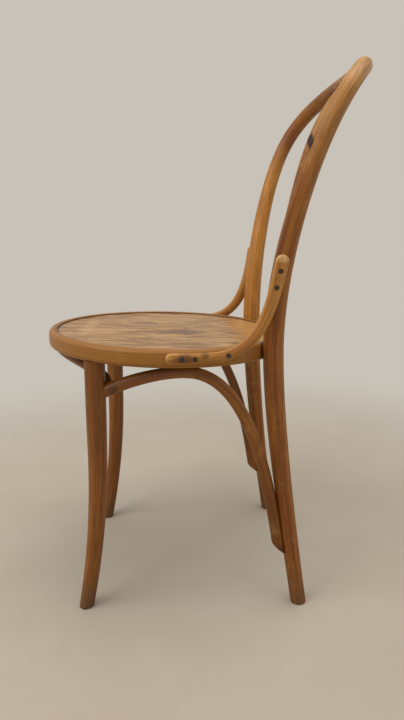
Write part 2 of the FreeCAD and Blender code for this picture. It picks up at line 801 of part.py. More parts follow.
def bracket_rod(name, side):
    """A side bracket with rounded ends, before its beds are cut."""
    along, rise = bracket_stretches(side)
    reference = AXIS_X * side
    stations = []
    for share, point, way in stretch_stations(along, BRACKET_COUNTS[0]):
        stations.append((point, way, "Sizes.bracket_seat_width", 1.0))
    for share, point, way in stretch_stations(rise, BRACKET_COUNTS[1], 1):
        rule = blend("bracket_seat_width", "bracket_width", share)
        stations.append((point, way, rule, 1.0))
    start, start_way, start_rule, _ = stations[0]
    end, end_way, end_rule, _ = stations[-1]
    rounded = []
    for angle in DOME_ANGLES:
        turn = math.radians(angle)
        reach = math.cos(turn) * sizes["bracket_seat_width"] / 2
        rounded.append((start - start_way * reach, start_way, start_rule, math.sin(turn)))
    stations = rounded + stations
    for angle in reversed(DOME_ANGLES):
        turn = math.radians(angle)
        reach = math.cos(turn) * sizes["bracket_width"] / 2
        stations.append((end + end_way * reach, end_way, end_rule, math.sin(turn)))
    sections = []
    for number, (point, way, rule, scale) in enumerate(stations):
        thick = "Sizes.bracket_thickness"
        sections.append(oval_section(f"{name}_oval{number}", point, way, reference, rule, thick, scale))
    return rod(name, sections)


# Fasteners

def screw_master():
    """A countersunk wood screw with its head at the origin, pointing down -Z."""
    body = doc.addObject("PartDesign::Body", "screw_master")
    sketch = flat_sketch(body, "screw_profile", "XZ_Plane")
    head = sizes["screw_head_dia"] / 2
    depth = sizes["screw_head_depth"]
    shank = sizes["screw_dia"] / 2
    length = sizes["screw_length"]
    point = sizes["screw_point"]
    add_profile(sketch, [
        (0, "", 0, ""),
        (head, "Sizes.screw_head_dia / 2", 0, ""),
        (shank, "Sizes.screw_dia / 2", -depth, "-Sizes.screw_head_depth"),
        (shank, "Sizes.screw_dia / 2", point - length, "Sizes.screw_point - Sizes.screw_length"),
        (sizes["screw_tip"], "Sizes.screw_tip", -length, "-Sizes.screw_length"),
        (0, "", -length, "-Sizes.screw_length"),
    ])
    turned = body.newObject("PartDesign::Revolution", "screw_turned")
    turned.Profile = sketch
    turned.ReferenceAxis = (sketch, ["V_Axis"])
    turned.Angle = 360
    slot = flat_sketch(body, "screw_slot", "XY_Plane")
    half = sizes["slot_width"] / 2
    long_half = head + sizes["slot_past"]
    long_rule = "Sizes.screw_head_dia / 2 + Sizes.slot_past"
    add_profile(slot, [
        (-long_half, f"-({long_rule})", -half, "-Sizes.slot_width / 2"),
        (long_half, long_rule, -half, "-Sizes.slot_width / 2"),
        (long_half, long_rule, half, "Sizes.slot_width / 2"),
        (-long_half, f"-({long_rule})", half, "Sizes.slot_width / 2"),
    ])
    groove = body.newObject("PartDesign::Pocket", "screw_groove")
    groove.Profile = slot
    groove.setExpression("Length", "Sizes.screw_head_depth * Sizes.slot_depth")
    return body


def screw_hole_master():
    """The hole that takes a wood screw, open above its head."""
    body = doc.addObject("PartDesign::Body", "screw_hole_master")
    sketch = flat_sketch(body, "screw_hole_profile", "XZ_Plane")
    gap = sizes["bore_gap"]
    head = sizes["screw_head_dia"] / 2 + gap
    depth = sizes["screw_head_depth"] + gap
    shank = sizes["screw_dia"] / 2 + gap
    length = sizes["screw_length"] + sizes["hole_past"]
    above = sizes["hole_above"]
    add_profile(sketch, [
        (0, "", above, "Sizes.hole_above"),
        (head, "Sizes.screw_head_dia / 2 + Sizes.bore_gap", above, "Sizes.hole_above"),
        (head, "Sizes.screw_head_dia / 2 + Sizes.bore_gap", 0, ""),
        (shank, "Sizes.screw_dia / 2 + Sizes.bore_gap", -depth,
         "-Sizes.screw_head_depth - Sizes.bore_gap"),
        (shank, "Sizes.screw_dia / 2 + Sizes.bore_gap", -length, "-Sizes.screw_length - Sizes.hole_past"),
        (0, "", -length, "-Sizes.screw_length - Sizes.hole_past"),
    ])
    turned = body.newObject("PartDesign::Revolution", "screw_hole_turned")
    turned.Profile = sketch
    turned.ReferenceAxis = (sketch, ["V_Axis"])
    turned.Angle = 360
    return body


def drive(head, direction, spin=0):
    """Placement of a fastener whose head is at a point and which runs along a direction."""
    return Placement(head, Rotation(-AXIS_Z, direction).multiply(Rotation(AXIS_Z, spin)))


def link(name, master, place):
    """One more copy of a master piece."""
    copy = doc.addObject("App::Link", name)
    copy.LinkedObject = master
    copy.LinkTransform = False
    copy.Placement = place
    return copy


def lag_screw(name, place):
    """A coach screw: its shank runs down -Z from the origin, its hexagon head stands above."""
    shank = doc.addObject("Part::Cylinder", f"{name}_shank")
    shank.setExpression("Radius", "Sizes.lag_dia / 2")
    shank.setExpression("Height", "Sizes.lag_length")
    shank.Placement = place.multiply(Placement(Vector(0, 0, -sizes["lag_length"]), Rotation()))
    head = doc.addObject("Part::Prism", f"{name}_head")
    head.Polygon = 6
    head.setExpression("Circumradius", "Sizes.lag_head_flats / 1.7320508")
    head.setExpression("Height", "Sizes.lag_head_height")
    head.Placement = place
    return fuse(name, head, shank)


def disc(name, place, radius, height):
    """A cylinder whose radius and height are rules over the sheet."""
    shape = doc.addObject("Part::Cylinder", name)
    shape.setExpression("Radius", radius)
    shape.setExpression("Height", height)
    shape.Placement = place
    return shape


def surface_head(edge, share, outward, radius):
    """Place on a member's surface: point on its centre line moved outwards by its radius."""
    parameter = edge.getParameterByLength(share * edge.Length)
    way = edge.tangentAt(parameter)
    out = square_to(way, outward)
    return edge.valueAt(parameter) + out * radius, out


# Build every tool and blank, then fit the pieces to each other

SINK = 0.4
EYE_START = 1
FLOOR_BLOCK = (900, 60)
RING_BLOCK = (600, 80)
ARCH_FRONT_SCREW = 0.2
ARCH_REAR_SCREWS = (0.86, 0.94)
FRONT_ARCH_SCREW = 0.06
TOE = Vector(0, -0.85, 0.53)
UNDER_FRONT = Vector(0, 0.6, -1)
UPRIGHT_SCREW_SHARES = (0.80, 0.93)
SEAT_SCREW_SHARES = (0.25, 0.55)
SEAT_SCREW_ON_RISE = 0.12
screw = screw_master()
screw_hole = screw_hole_master()
ring = ring_blank()
ring_gap = ring_clearance()
hoop = hoop_rod("hoop_rod")
hoop_gap = hoop_rod("hoop_clearance", " + Sizes.fit_gap")
floor = block("below_floor", Placement(Vector(0, 0, -FLOOR_BLOCK[1]), Rotation()),
              FLOOR_BLOCK[0], FLOOR_BLOCK[0], FLOOR_BLOCK[1])
SIDES = (("left", 1), ("right", -1))
screw_places = {}


def add_screw(node, head, direction, spin=0):
    """Remember one screw of a node by its place."""
    screw_places.setdefault(node, []).append(drive(head, direction, spin))


for side_name, side in SIDES:
    along, rise = bracket_stretches(side)
    outward = AXIS_X * side
    half_thick = sizes["bracket_thickness"] / 2 - SINK
    for share in UPRIGHT_SCREW_SHARES:
        head, out = surface_head(rise, share, outward, half_thick)
        add_screw(f"bracket_upright_screws_{side_name}", head, -out, 40 * side)
    for share in SEAT_SCREW_SHARES:
        head, out = surface_head(along, share, outward, half_thick)
        add_screw(f"bracket_seat_screws_{side_name}", head, -out, 25)
    head, out = surface_head(rise, SEAT_SCREW_ON_RISE, outward, half_thick)
    add_screw(f"bracket_seat_screws_{side_name}", head, -out, 70)
    front, rear = arch_stretches(side)
    down = -seat_frame.Rotation.multVec(AXIS_Z)
    head, out = surface_head(front, 1, down, sizes["arch_crown_dia"] / 2 - SINK)
    add_screw(f"arch_screws_{side_name}", head, -out, 15)
    head, out = surface_head(front, ARCH_FRONT_SCREW, UNDER_FRONT, sizes["arch_front_dia"] / 2 - SINK)
    add_screw(f"arch_screws_{side_name}", head, TOE)
    for share in ARCH_REAR_SCREWS:
        head, out = surface_head(rear, share, -AXIS_Y, sizes["arch_rear_dia"] / 2 - SINK)
        add_screw(f"arch_screws_{side_name}", head, -out, 30)
left_half, right_half = front_arch_stretches()
radius = sizes["front_arch_dia"] / 2 - SINK
for edge, share, side in ((left_half, FRONT_ARCH_SCREW, 1), (right_half, 1 - FRONT_ARCH_SCREW, -1)):
    outward = Vector(-0.62 * side, 0.72, -0.25)
    head, out = surface_head(edge, share, outward, radius)
    add_screw("front_arch_screws", head, -out)
down = -seat_frame.Rotation.multVec(AXIS_Z)
head, out = surface_head(left_half, 1, down, radius)
add_screw("front_arch_screws", head, -out, 60)

screw_groups = {}
hole_groups = {}
for node, places in screw_places.items():
    copies = []
    holes = []
    for number, place in enumerate(places):
        copies.append(link(f"{node}_{number}", screw, place))
        holes.append(link(f"{node}_hole{number}", screw_hole, place))
    screw_groups[node] = group(node, copies)
    hole_groups[node] = group(f"{node}_holes", holes)

# Coach screws from inside the ring into the uprights
lag_screws = []
lag_washers = []
lag_holes = []
rebate_depth = sizes["panel_thickness"] + sizes["panel_recess"]
lag_level = (sizes["ring_height"] + rebate_depth) / 2
for side_name, side in SIDES:
    angle = sizes["upright_angle"] if side > 0 else 180 - sizes["upright_angle"]
    outward = ring_normal(angle)
    inner = ring_point(angle, 0, lag_level) - outward * (sizes["ring_width"] + sizes["washer_stand"])
    seat_place = drive(inner, outward)
    washer_lift = Placement(Vector(0, 0, sizes["washer_thickness"] + 2 * sizes["washer_gap"]), Rotation())
    lag_screws.append(lag_screw(f"lag_{side_name}", seat_place.multiply(washer_lift)))
    disc_place = seat_place.multiply(Placement(Vector(0, 0, sizes["washer_gap"]), Rotation()))
    plate = disc(f"washer_{side_name}", disc_place, "Sizes.washer_dia / 2", "Sizes.washer_thickness")
    lift = Placement(Vector(0, 0, -EYE_START), Rotation())
    eye = disc(f"washer_eye_{side_name}", seat_place.multiply(lift),
               "Sizes.lag_dia / 2 + Sizes.washer_eye_gap",
               "Sizes.washer_thickness + Sizes.cutter_past")
    lag_washers.append(cut(f"washer_plate_{side_name}", plate, [eye]))
    bore_start = Placement(Vector(0, 0, -sizes["lag_length"]), Rotation())
    lag_holes.append(disc(f"lag_hole_{side_name}", seat_place.multiply(bore_start),
                          "Sizes.lag_dia / 2 + Sizes.bore_gap",
                          "Sizes.lag_length + Sizes.cutter_past"))
    face = disc(f"washer_face_{side_name}", seat_place,
                "Sizes.washer_dia / 2 + Sizes.washer_face_gap",
                "Sizes.washer_thickness + 2 * Sizes.cutter_past")
    lag_holes.append(face)
nodes = {}
nodes["hoop_coach_screws"] = group("hoop_coach_screws", lag_screws)
nodes["hoop_washers"] = group("hoop_washers", lag_washers)
lag_bores = lag_holes[0::2]
lag_faces = lag_holes[1::2]


def holes(*names):
    """Hole groups of the named screw nodes."""
    return [hole_groups[name] for name in names]


both = [name for name, _ in SIDES]
hoop_tools = [floor, ring_gap] + lag_bores
for name in both:
    hoop_tools += holes(f"bracket_upright_screws_{name}", f"arch_screws_{name}")
nodes["back_hoop"] = cut("back_hoop", hoop, hoop_tools)
nodes["hoop_splice_strip"] = splice_strip(hoop_gap)

leg_gaps = {}
sockets = []
above_ring = Placement(Vector(0, 0, -sizes["ring_height"] - sizes["fit_gap"] / 2), Rotation())
ring_side = block("above_underside", seat_frame.multiply(above_ring), RING_BLOCK[0], RING_BLOCK[0],
                  RING_BLOCK[1])
for side_name, side in SIDES:
    blank = leg_rod(f"leg_rod_{side_name}", side)
    leg_gaps[side_name] = leg_rod(f"leg_clearance_{side_name}", side, " + Sizes.fit_gap")
    peg = tenon(f"tenon_{side_name}", side, "", "")
    sockets.append(tenon(f"socket_{side_name}", side, " + Sizes.bore_gap", " + Sizes.socket_clearance"))
    shaft = cut(f"leg_shaft_{side_name}", blank, [floor, ring_side])
    whole = fuse(f"leg_whole_{side_name}", shaft, peg)
    nodes[f"front_leg_{side_name}"] = cut(f"front_leg_{side_name}", whole,
                                          holes(f"arch_screws_{side_name}", "front_arch_screws"))

ring_tools = sockets + lag_bores + lag_faces + holes("front_arch_screws")
for name in both:
    ring_tools += holes(f"bracket_seat_screws_{name}", f"arch_screws_{name}")
nodes["seat_ring"] = cut("seat_ring", ring, ring_tools)
nodes["seat_panel"] = seat_panel()

for side_name, side in SIDES:
    arch = arch_rod(f"arch_rod_{side_name}", side)
    slant = arch_end_cutter(f"arch_slant_{side_name}", side)
    tools = [slant, hoop_gap, leg_gaps[side_name]]
    tools += holes(f"arch_screws_{side_name}")
    nodes[f"side_arch_{side_name}"] = cut(f"side_arch_{side_name}", arch, tools)
    bracket = bracket_rod(f"bracket_rod_{side_name}", side)
    tools = [ring_gap, hoop_gap]
    tools += holes(f"bracket_upright_screws_{side_name}", f"bracket_seat_screws_{side_name}")
    nodes[f"side_bracket_{side_name}"] = cut(f"side_bracket_{side_name}", bracket, tools)

front_arch = front_arch_rod()
front_tools = [leg_gaps["left"], leg_gaps["right"]]
front_tools += holes("front_arch_screws")
nodes["front_arch"] = cut("front_arch", front_arch, front_tools)
for node, members in screw_groups.items():
    nodes[node] = members

doc.recompute()
for item in doc.Objects:
    if "Invalid" in item.State or "Error" in item.State:
        raise RuntimeError(f"{item.Name} failed: {item.State}")

os.makedirs("parts", exist_ok=True)
for name, item in nodes.items():
    item.Label = name
    shape = Part.getShape(item)
    if shape.isNull() or not shape.isValid() or not shape.Solids:
        raise RuntimeError(f"{name} has no valid shape")
    shape.exportStep(f"parts/{name}.step")
    print(name, len(shape.Solids), round(shape.Volume, 1))
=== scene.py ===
"""Bentwood bistro chair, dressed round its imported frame.

Metres, +Z up, the sitter faces -Y and the sitter's left side is +X, as in the frame.
"""
import logging
import math
from collections.abc import Iterator, Sequence
from contextlib import contextmanager
from dataclasses import dataclass, field
from enum import Enum

import bmesh
import bpy
import numpy as np
from mathutils import Matrix, Vector


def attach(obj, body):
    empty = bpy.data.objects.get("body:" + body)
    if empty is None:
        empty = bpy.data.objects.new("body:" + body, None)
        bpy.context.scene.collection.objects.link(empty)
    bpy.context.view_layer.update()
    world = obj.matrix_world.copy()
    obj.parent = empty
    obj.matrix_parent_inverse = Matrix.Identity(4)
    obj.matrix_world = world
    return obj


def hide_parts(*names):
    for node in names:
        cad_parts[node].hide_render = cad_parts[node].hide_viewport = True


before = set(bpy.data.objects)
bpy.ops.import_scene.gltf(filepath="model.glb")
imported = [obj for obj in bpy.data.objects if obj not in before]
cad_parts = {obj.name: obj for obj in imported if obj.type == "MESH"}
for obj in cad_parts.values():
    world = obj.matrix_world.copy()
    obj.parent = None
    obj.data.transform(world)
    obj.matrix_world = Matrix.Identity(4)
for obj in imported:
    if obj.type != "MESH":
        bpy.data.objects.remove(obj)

LOG = logging.getLogger("chair")
AXIS_X = Vector((1.0, 0.0, 0.0))
AXIS_Y = Vector((0.0, 1.0, 0.0))
AXIS_Z = Vector((0.0, 0.0, 1.0))
SIDES = (("left", 1), ("right", -1))
GRAIN = "grain"
GRAIN_DEPTH = "grain_depth"
ALONG = 0.04
SINK = 0.0004
SEAM = 1e-6
END_LEVEL = 2e-5
END_SQUARE = 0.99
END_REACH = 0.06
GRAIN_APART = 0.2


def tone(red: int, green: int, blue: int) -> tuple[float, float, float, float]:
    """A colour written in 8-bit display values, as the shader wants it."""
    parts = []
    for value in (red / 255, green / 255, blue / 255):
        parts.append(value / 12.92 if value <= 0.04045 else ((value + 0.055) / 1.055) ** 2.4)
    return parts[0], parts[1], parts[2], 1.0


# Places and centre lines

@dataclass(frozen=True)
class SeatPlan:
    """The seat's place, slope and outline, from which the other pieces take their places."""

    middle: float = -0.0645
    height: float = 0.4565
    slope: float = math.radians(2.5)
    width: float = 0.409
    depth: float = 0.419
    ring_height: float = 0.029
    ring_width: float = 0.038

    @property
    def offset(self) -> float:
        """Centres of the outline's four arcs from its middle."""
        return (self.depth - self.width) / 2 / (2 - math.sqrt(2))

    @property
    def side_radius(self) -> float:
        """Radius of the arcs at the sides."""
        return self.width / 2 + self.offset

    @property
    def end_radius(self) -> float:
        """Radius of the arcs at the front and back."""
        return self.depth / 2 - self.offset

    @property
    def matrix(self) -> Matrix:
        """From the seat's own frame, its top at zero, to the world."""
        place = Matrix.Translation((0, self.middle, self.height))
        return place @ Matrix.Rotation(-self.slope, 4, "X")

    @property
    def up(self) -> Vector:
        """Direction square to the seat."""
        return self.matrix.to_3x3() @ AXIS_Z

    @property
    def rearward(self) -> Vector:
        """Direction from front to back along the seat."""
        return self.matrix.to_3x3() @ AXIS_Y

    def local(self, turn: float, inset: float) -> tuple[float, float]:
        """Place in the seat's own plan.

        Args:
            turn: Angle in radians that the edge faces, from +X towards the back.
            inset: Distance inside the ring's outer edge.

        Returns:
            The two coordinates in plan.
        """
        x = math.cos(turn)
        y = math.sin(turn)
        if abs(x) >= abs(y):
            reach = self.side_radius - inset
            return reach * x - math.copysign(self.offset, x), reach * y
        reach = self.end_radius - inset
        return reach * x, reach * y + math.copysign(self.offset, y)

    def point(self, degrees: float, inset: float, below_top: float) -> Vector:
        """World point in the ring where its edge faces an angle."""
        x, y = self.local(math.radians(degrees), inset)
        return self.matrix @ Vector((x, y, -below_top))

    def outward(self, degrees: float) -> Vector:
        """Direction that the ring's edge faces at an angle."""
        turn = math.radians(degrees)
        return self.matrix.to_3x3() @ Vector((math.cos(turn), math.sin(turn), 0))

    def angle_at(self, back: float) -> float:
        """Angle in degrees that a side arc faces at a distance behind the middle."""
        return math.degrees(math.asin(back / self.side_radius))

    def at(self, x: float, back: float, height: float) -> Vector:
        """World point from a place measured sideways and back from the seat's middle."""
        return Vector((x, self.middle + back, height))


PLAN = SeatPlan()


@dataclass(frozen=True)
class Station:
    """One place on a member's centre line, with its direction and diameter."""

    point: Vector
    way: Vector
    diameter: float


class Stretch:
    """One cubic stretch of a centre line, read by its length."""

    STEPS = 240

    def __init__(self, poles: Sequence[Vector]) -> None:
        """Take the four poles and measure the stretch.

        Args:
            poles: Start, its pull, the end's pull, end.
        """
        self.poles = [Vector(pole) for pole in poles]
        self.marks = np.linspace(0, 1, self.STEPS + 1)
        points = np.array([self.raw(mark) for mark in self.marks])
        steps = np.linalg.norm(np.diff(points, axis=0), axis=1)
        self.runs = np.concatenate(([0.0], np.cumsum(steps)))

    def raw(self, mark: float) -> Vector:
        """Point at the curve's own parameter."""
        a, b, c, d = self.poles
        rest = 1 - mark
        return a * rest ** 3 + b * 3 * rest ** 2 * mark + c * 3 * rest * mark ** 2 + d * mark ** 3

    def raw_way(self, mark: float) -> Vector:
        """Direction at the curve's own parameter."""
        a, b, c, d = self.poles
        rest = 1 - mark
        way = (b - a) * rest ** 2 + (c - b) * 2 * rest * mark + (d - c) * mark ** 2
        return way.normalized()

    def mark(self, share: float) -> float:
        """Parameter at a share of the length."""
        return float(np.interp(share * self.runs[-1], self.runs, self.marks))

    def point(self, share: float) -> Vector:
        """Point at a share of the length."""
        return self.raw(self.mark(share))

    def way(self, share: float) -> Vector:
        """Direction at a share of the length."""
        return self.raw_way(self.mark(share))

    def stations(self, count: int, start: float, end: float, first: int = 0) -> list[Station]:
        """Evenly spaced stations whose diameter eases from one size to another.

        Args:
            count: Number of steps.
            start: Diameter at the start.
            end: Diameter at the end.
            first: 1 leaves out the first station.

        Returns:
            The stations in order.
        """
        made = []
        for index in range(first, count + 1):
            share = index / count
            ease = (1 - math.cos(math.pi * share)) / 2
            made.append(Station(self.point(share), self.way(share), start + (end - start) * ease))
        return made


def mirror(point: Vector, side: int) -> Vector:
    """The point on a side, 1 for the sitter's left and -1 for the right."""
    return Vector((side * point.x, point.y, point.z))


def square_to(way: Vector, reference: Vector) -> Vector:
    """A reference direction made square to another direction."""
    return (reference - way * reference.dot(way)).normalized()


# Short calls for modelling

def select_only(*pieces: bpy.types.Object) -> None:
    """Deselect everything, then select the pieces and make the first one active."""
    if bpy.context.object and bpy.context.object.mode != "OBJECT":
        bpy.ops.object.mode_set(mode="OBJECT")
    bpy.ops.object.select_all(action="DESELECT")
    for piece in pieces:
        piece.select_set(True)
    if pieces:
        bpy.context.view_layer.objects.active = pieces[0]


@contextmanager
def editing(piece: bpy.types.Object, mode: str = "FACE") -> Iterator[bmesh.types.BMesh]:
    """Edit mode on one piece, with nothing selected at first.

    Args:
        piece: The piece to edit.
        mode: VERT, EDGE or FACE.

    Returns:
        The mesh under edit, for selecting by place.
    """
    select_only(piece)
    bpy.ops.object.mode_set(mode="EDIT")
    bpy.ops.mesh.select_mode(type=mode)
    bpy.ops.mesh.select_all(action="DESELECT")
    yield bmesh.from_edit_mesh(piece.data)
    bpy.ops.object.mode_set(mode="OBJECT")


def named(name: str) -> bpy.types.Object:
    """Name the active object and its data."""
    piece = bpy.context.object
    piece.name = name
    piece.data.name = name
    return piece


def settle(piece: bpy.types.Object) -> None:
    """Put a piece's place into its mesh, close its seams and turn its faces outwards."""
    select_only(piece)
    bpy.ops.object.transform_apply(location=True, rotation=True, scale=True)
    with editing(piece):
        bpy.ops.mesh.select_all(action="SELECT")
        bpy.ops.mesh.remove_doubles(threshold=SEAM)
        bpy.ops.mesh.normals_make_consistent(inside=False)


def smooth(piece: bpy.types.Object, degrees: float = 38) -> None:
    """Shade smooth, with edges sharper than an angle kept crisp."""
    select_only(piece)
    bpy.ops.object.shade_smooth_by_angle(angle=math.radians(degrees))


def sweep(name: str, stations: Sequence[Station], around: int = 14) -> bpy.types.Object:
    """A round rod bent through stations, drawn as a bevelled curve and made a mesh.

    Args:
        name: Name of the piece.
        stations: Places, directions and diameters in order.
        around: Bevel resolution of the round.

    Returns:
        The rod, with its ends capped.
    """
    select_only()
    bpy.ops.curve.primitive_bezier_curve_add(location=(0, 0, 0))
    line = bpy.context.object.data
    spline = line.splines[0]
    spline.bezier_points.add(len(stations) - 2)
    spline.radius_interpolation = "LINEAR"
    last = len(stations) - 1
    for number, station in enumerate(stations):
        before = stations[max(number - 1, 0)].point
        after = stations[min(number + 1, last)].point
        knot = spline.bezier_points[number]
        knot.handle_left_type = "FREE"
        knot.handle_right_type = "FREE"
        knot.co = station.point
        knot.handle_left = station.point - station.way * (station.point - before).length / 3
        knot.handle_right = station.point + station.way * (after - station.point).length / 3
        knot.radius = station.diameter
    line.dimensions = "3D"
    line.resolution_u = 2
    line.bevel_depth = 0.5
    line.bevel_resolution = around
    line.use_fill_caps = True
    bpy.ops.object.convert(target="MESH")
    piece = named(name)
    settle(piece)
    return piece


def trim(piece: bpy.types.Object, place: Vector, facing: Vector) -> None:
    """Saw a piece off flat, taking away what lies on the facing side."""
    with editing(piece):
        bpy.ops.mesh.select_all(action="SELECT")
        bpy.ops.mesh.bisect(plane_co=place, plane_no=facing, use_fill=True, clear_outer=True)


def ease_end(piece: bpy.types.Object, place: Vector, facing: Vector, width: float) -> None:
    """Round over the edge of a flat end with a small bevel.

    Args:
        piece: The piece.
        place: A point of the flat end.
        facing: Direction that the end faces.
        width: Width of the round.
    """
    with editing(piece, "EDGE") as mesh:
        for edge in mesh.edges:
            on_end = all(abs((vertex.co - place).dot(facing)) < END_LEVEL for vertex in edge.verts)
            flats = [abs(face.normal.dot(facing)) > END_SQUARE for face in edge.link_faces]
            near = (edge.verts[0].co - place).length < END_REACH
            edge.select_set(on_end and near and len(flats) == 2 and flats[0] != flats[1])
        bmesh.update_edit_mesh(piece.data)
        bpy.ops.mesh.bevel(offset=width, segments=3, affect="EDGES")


def bore(piece: bpy.types.Object, heads: Sequence[tuple[Vector, Vector]], radius: float = 0.00415,
         depth: float = 0.003, above: float = 0.009) -> None:
    """Sink holes for screw heads.

    Args:
        piece: The piece to bore.
        heads: Middle of each head and the direction that its screw runs.
        radius: Radius of the holes.
        depth: Depth below the heads.
        above: Reach of the cutter above the heads.
    """
    cutters = []
    for head, inward in heads:
        select_only()
        turn = (-inward).to_track_quat("Z", "Y").to_euler()
        middle = head - inward * (above - depth) / 2
        bpy.ops.mesh.primitive_cylinder_add(vertices=28, radius=radius, depth=above + depth,
                                            location=middle, rotation=turn)
        cutters.append(bpy.context.object)
    select_only(*cutters)
    if len(cutters) > 1:
        bpy.ops.object.join()
    cutter = bpy.context.object
    select_only(piece)
    holes = piece.modifiers.new("screw_holes", "BOOLEAN")
    holes.operation = "DIFFERENCE"
    holes.solver = "EXACT"
    holes.object = cutter
    bpy.ops.object.modifier_apply(modifier=holes.name)
    bpy.data.objects.remove(cutter)


def write_grain(piece: bpy.types.Object, places: np.ndarray, depths: np.ndarray) -> None:
    """Keep each vertex's place in the timber, which the wood finishes read.

    Args:
        piece: The piece.
        places: Three coordinates for each vertex, drawn in along the grain.
        depths: One more coordinate for each vertex.
    """
    mesh = piece.data
    layer = mesh.attributes.new(GRAIN, "FLOAT_VECTOR", "POINT")
    layer.data.foreach_set("vector", places.astype(np.float32).ravel())
    layer = mesh.attributes.new(GRAIN_DEPTH, "FLOAT", "POINT")
    layer.data.foreach_set("value", depths.astype(np.float32).ravel())


def vertex_places(piece: bpy.types.Object) -> np.ndarray:
    """Places of a mesh's vertices, one row each."""
    places = np.zeros(len(piece.data.vertices) * 3, np.float32)
    piece.data.vertices.foreach_get("co", places)
    return places.reshape(-1, 3).astype(float)


class CentreLine:
    """A member's centre line with a cross direction carried along it without twist."""

    def __init__(self, stations: Sequence[Station]) -> None:
        """Measure the line.

        Args:
            stations: The member's stations in order.
        """
        self.points = np.array([station.point for station in stations])
        self.ways = np.array([station.way for station in stations])
        steps = np.linalg.norm(np.diff(self.points, axis=0), axis=1)
        self.runs = np.concatenate(([0.0], np.cumsum(steps)))
        across = square_to(stations[0].way, Vector((0.8, 0.5, 0.1)))
        carried = []
        for station in stations:
            across = square_to(station.way, across)
            carried.append(across)
        self.across = np.array(carried)
        self.beside = np.cross(self.ways, self.across)

    def nearest(self, places: np.ndarray) -> np.ndarray:
        """Number of the nearest station for each place."""
        gaps = ((places[:, None, :] - self.points[None, :, :]) ** 2).sum(axis=2)
        return gaps.argmin(axis=1)

    def lay_grain(self, piece: bpy.types.Object, start: float) -> None:
        """Let the grain of a piece follow the line.

        Args:
            piece: The finished mesh.
            start: Where in the timber the line begins, so that no two pieces look alike.
        """
        places = vertex_places(piece)
        near = self.nearest(places)
        reach = places - self.points[near]
        run = self.runs[near] + (reach * self.ways[near]).sum(axis=1)
        grain = np.column_stack(((reach * self.across[near]).sum(axis=1) + start,
                                 (reach * self.beside[near]).sum(axis=1), run * ALONG))
        write_grain(piece, grain, np.full(len(places), start))


# Finishes

class Slot(Enum):
    """The record's material slots."""

    ROD = "beech_rod"
    RING = "beech_ring"
    VENEER = "seat_veneer"
    STEEL = "steel_screw"


class Graph:
    """A node tree with short calls that place and join nodes."""

    def __init__(self, tree: bpy.types.NodeTree) -> None:
        """Start in an empty tree."""
        self.tree = tree
        self.tree.nodes.clear()

    def node(self, kind: str, inputs: dict, **settings: object) -> bpy.types.Node:
        """Add a node.

        Args:
            kind: The node's type.
            inputs: Sockets to join or values to set, by name or number.
            settings: The node's own options.

        Returns:
            The node.
        """
        made = self.tree.nodes.new(kind)
        made.location = (190 * len(self.tree.nodes), 0)
        for name, value in settings.items():
            setattr(made, name, value)
        for name, value in inputs.items():
            socket = made.inputs[name]
            if isinstance(value, bpy.types.NodeSocket):
                self.tree.links.new(value, socket)
            else:
                socket.default_value = value
        return made

    def mix(self, factor: object, first: object, second: object) -> bpy.types.NodeSocket:
        """Blend two colours."""
        inputs = {0: factor, 6: first, 7: second}
        return self.node("ShaderNodeMix", inputs, data_type="RGBA").outputs[2]

    def ramp(self, value: object, low: float, high: float, start: float = 0.0,
             end: float = 1.0) -> bpy.types.NodeSocket:
        """Ease a value from one range to another."""
        made = self.node("ShaderNodeMapRange", {0: value, 1: low, 2: high, 3: start, 4: end},
                         interpolation_type="SMOOTHSTEP")
        return made.outputs[0]

    def math(self, operation: str, first: object, second: object) -> bpy.types.NodeSocket:
        """Join two values by arithmetic."""
        return self.node("ShaderNodeMath", {0: first, 1: second}, operation=operation).outputs[0]

    def noise(self, place: object, scale: float, detail: float, roughness: float,
              **more: object) -> bpy.types.NodeSocket:
        """Cloudy noise in three or four dimensions."""
        inputs = {"Vector": place, "Scale": scale, "Detail": detail, "Roughness": roughness,
                  **more}
        settings = {"noise_dimensions": "4D"} if "W" in more else {}
        return self.node("ShaderNodeTexNoise", inputs, **settings).outputs[0]


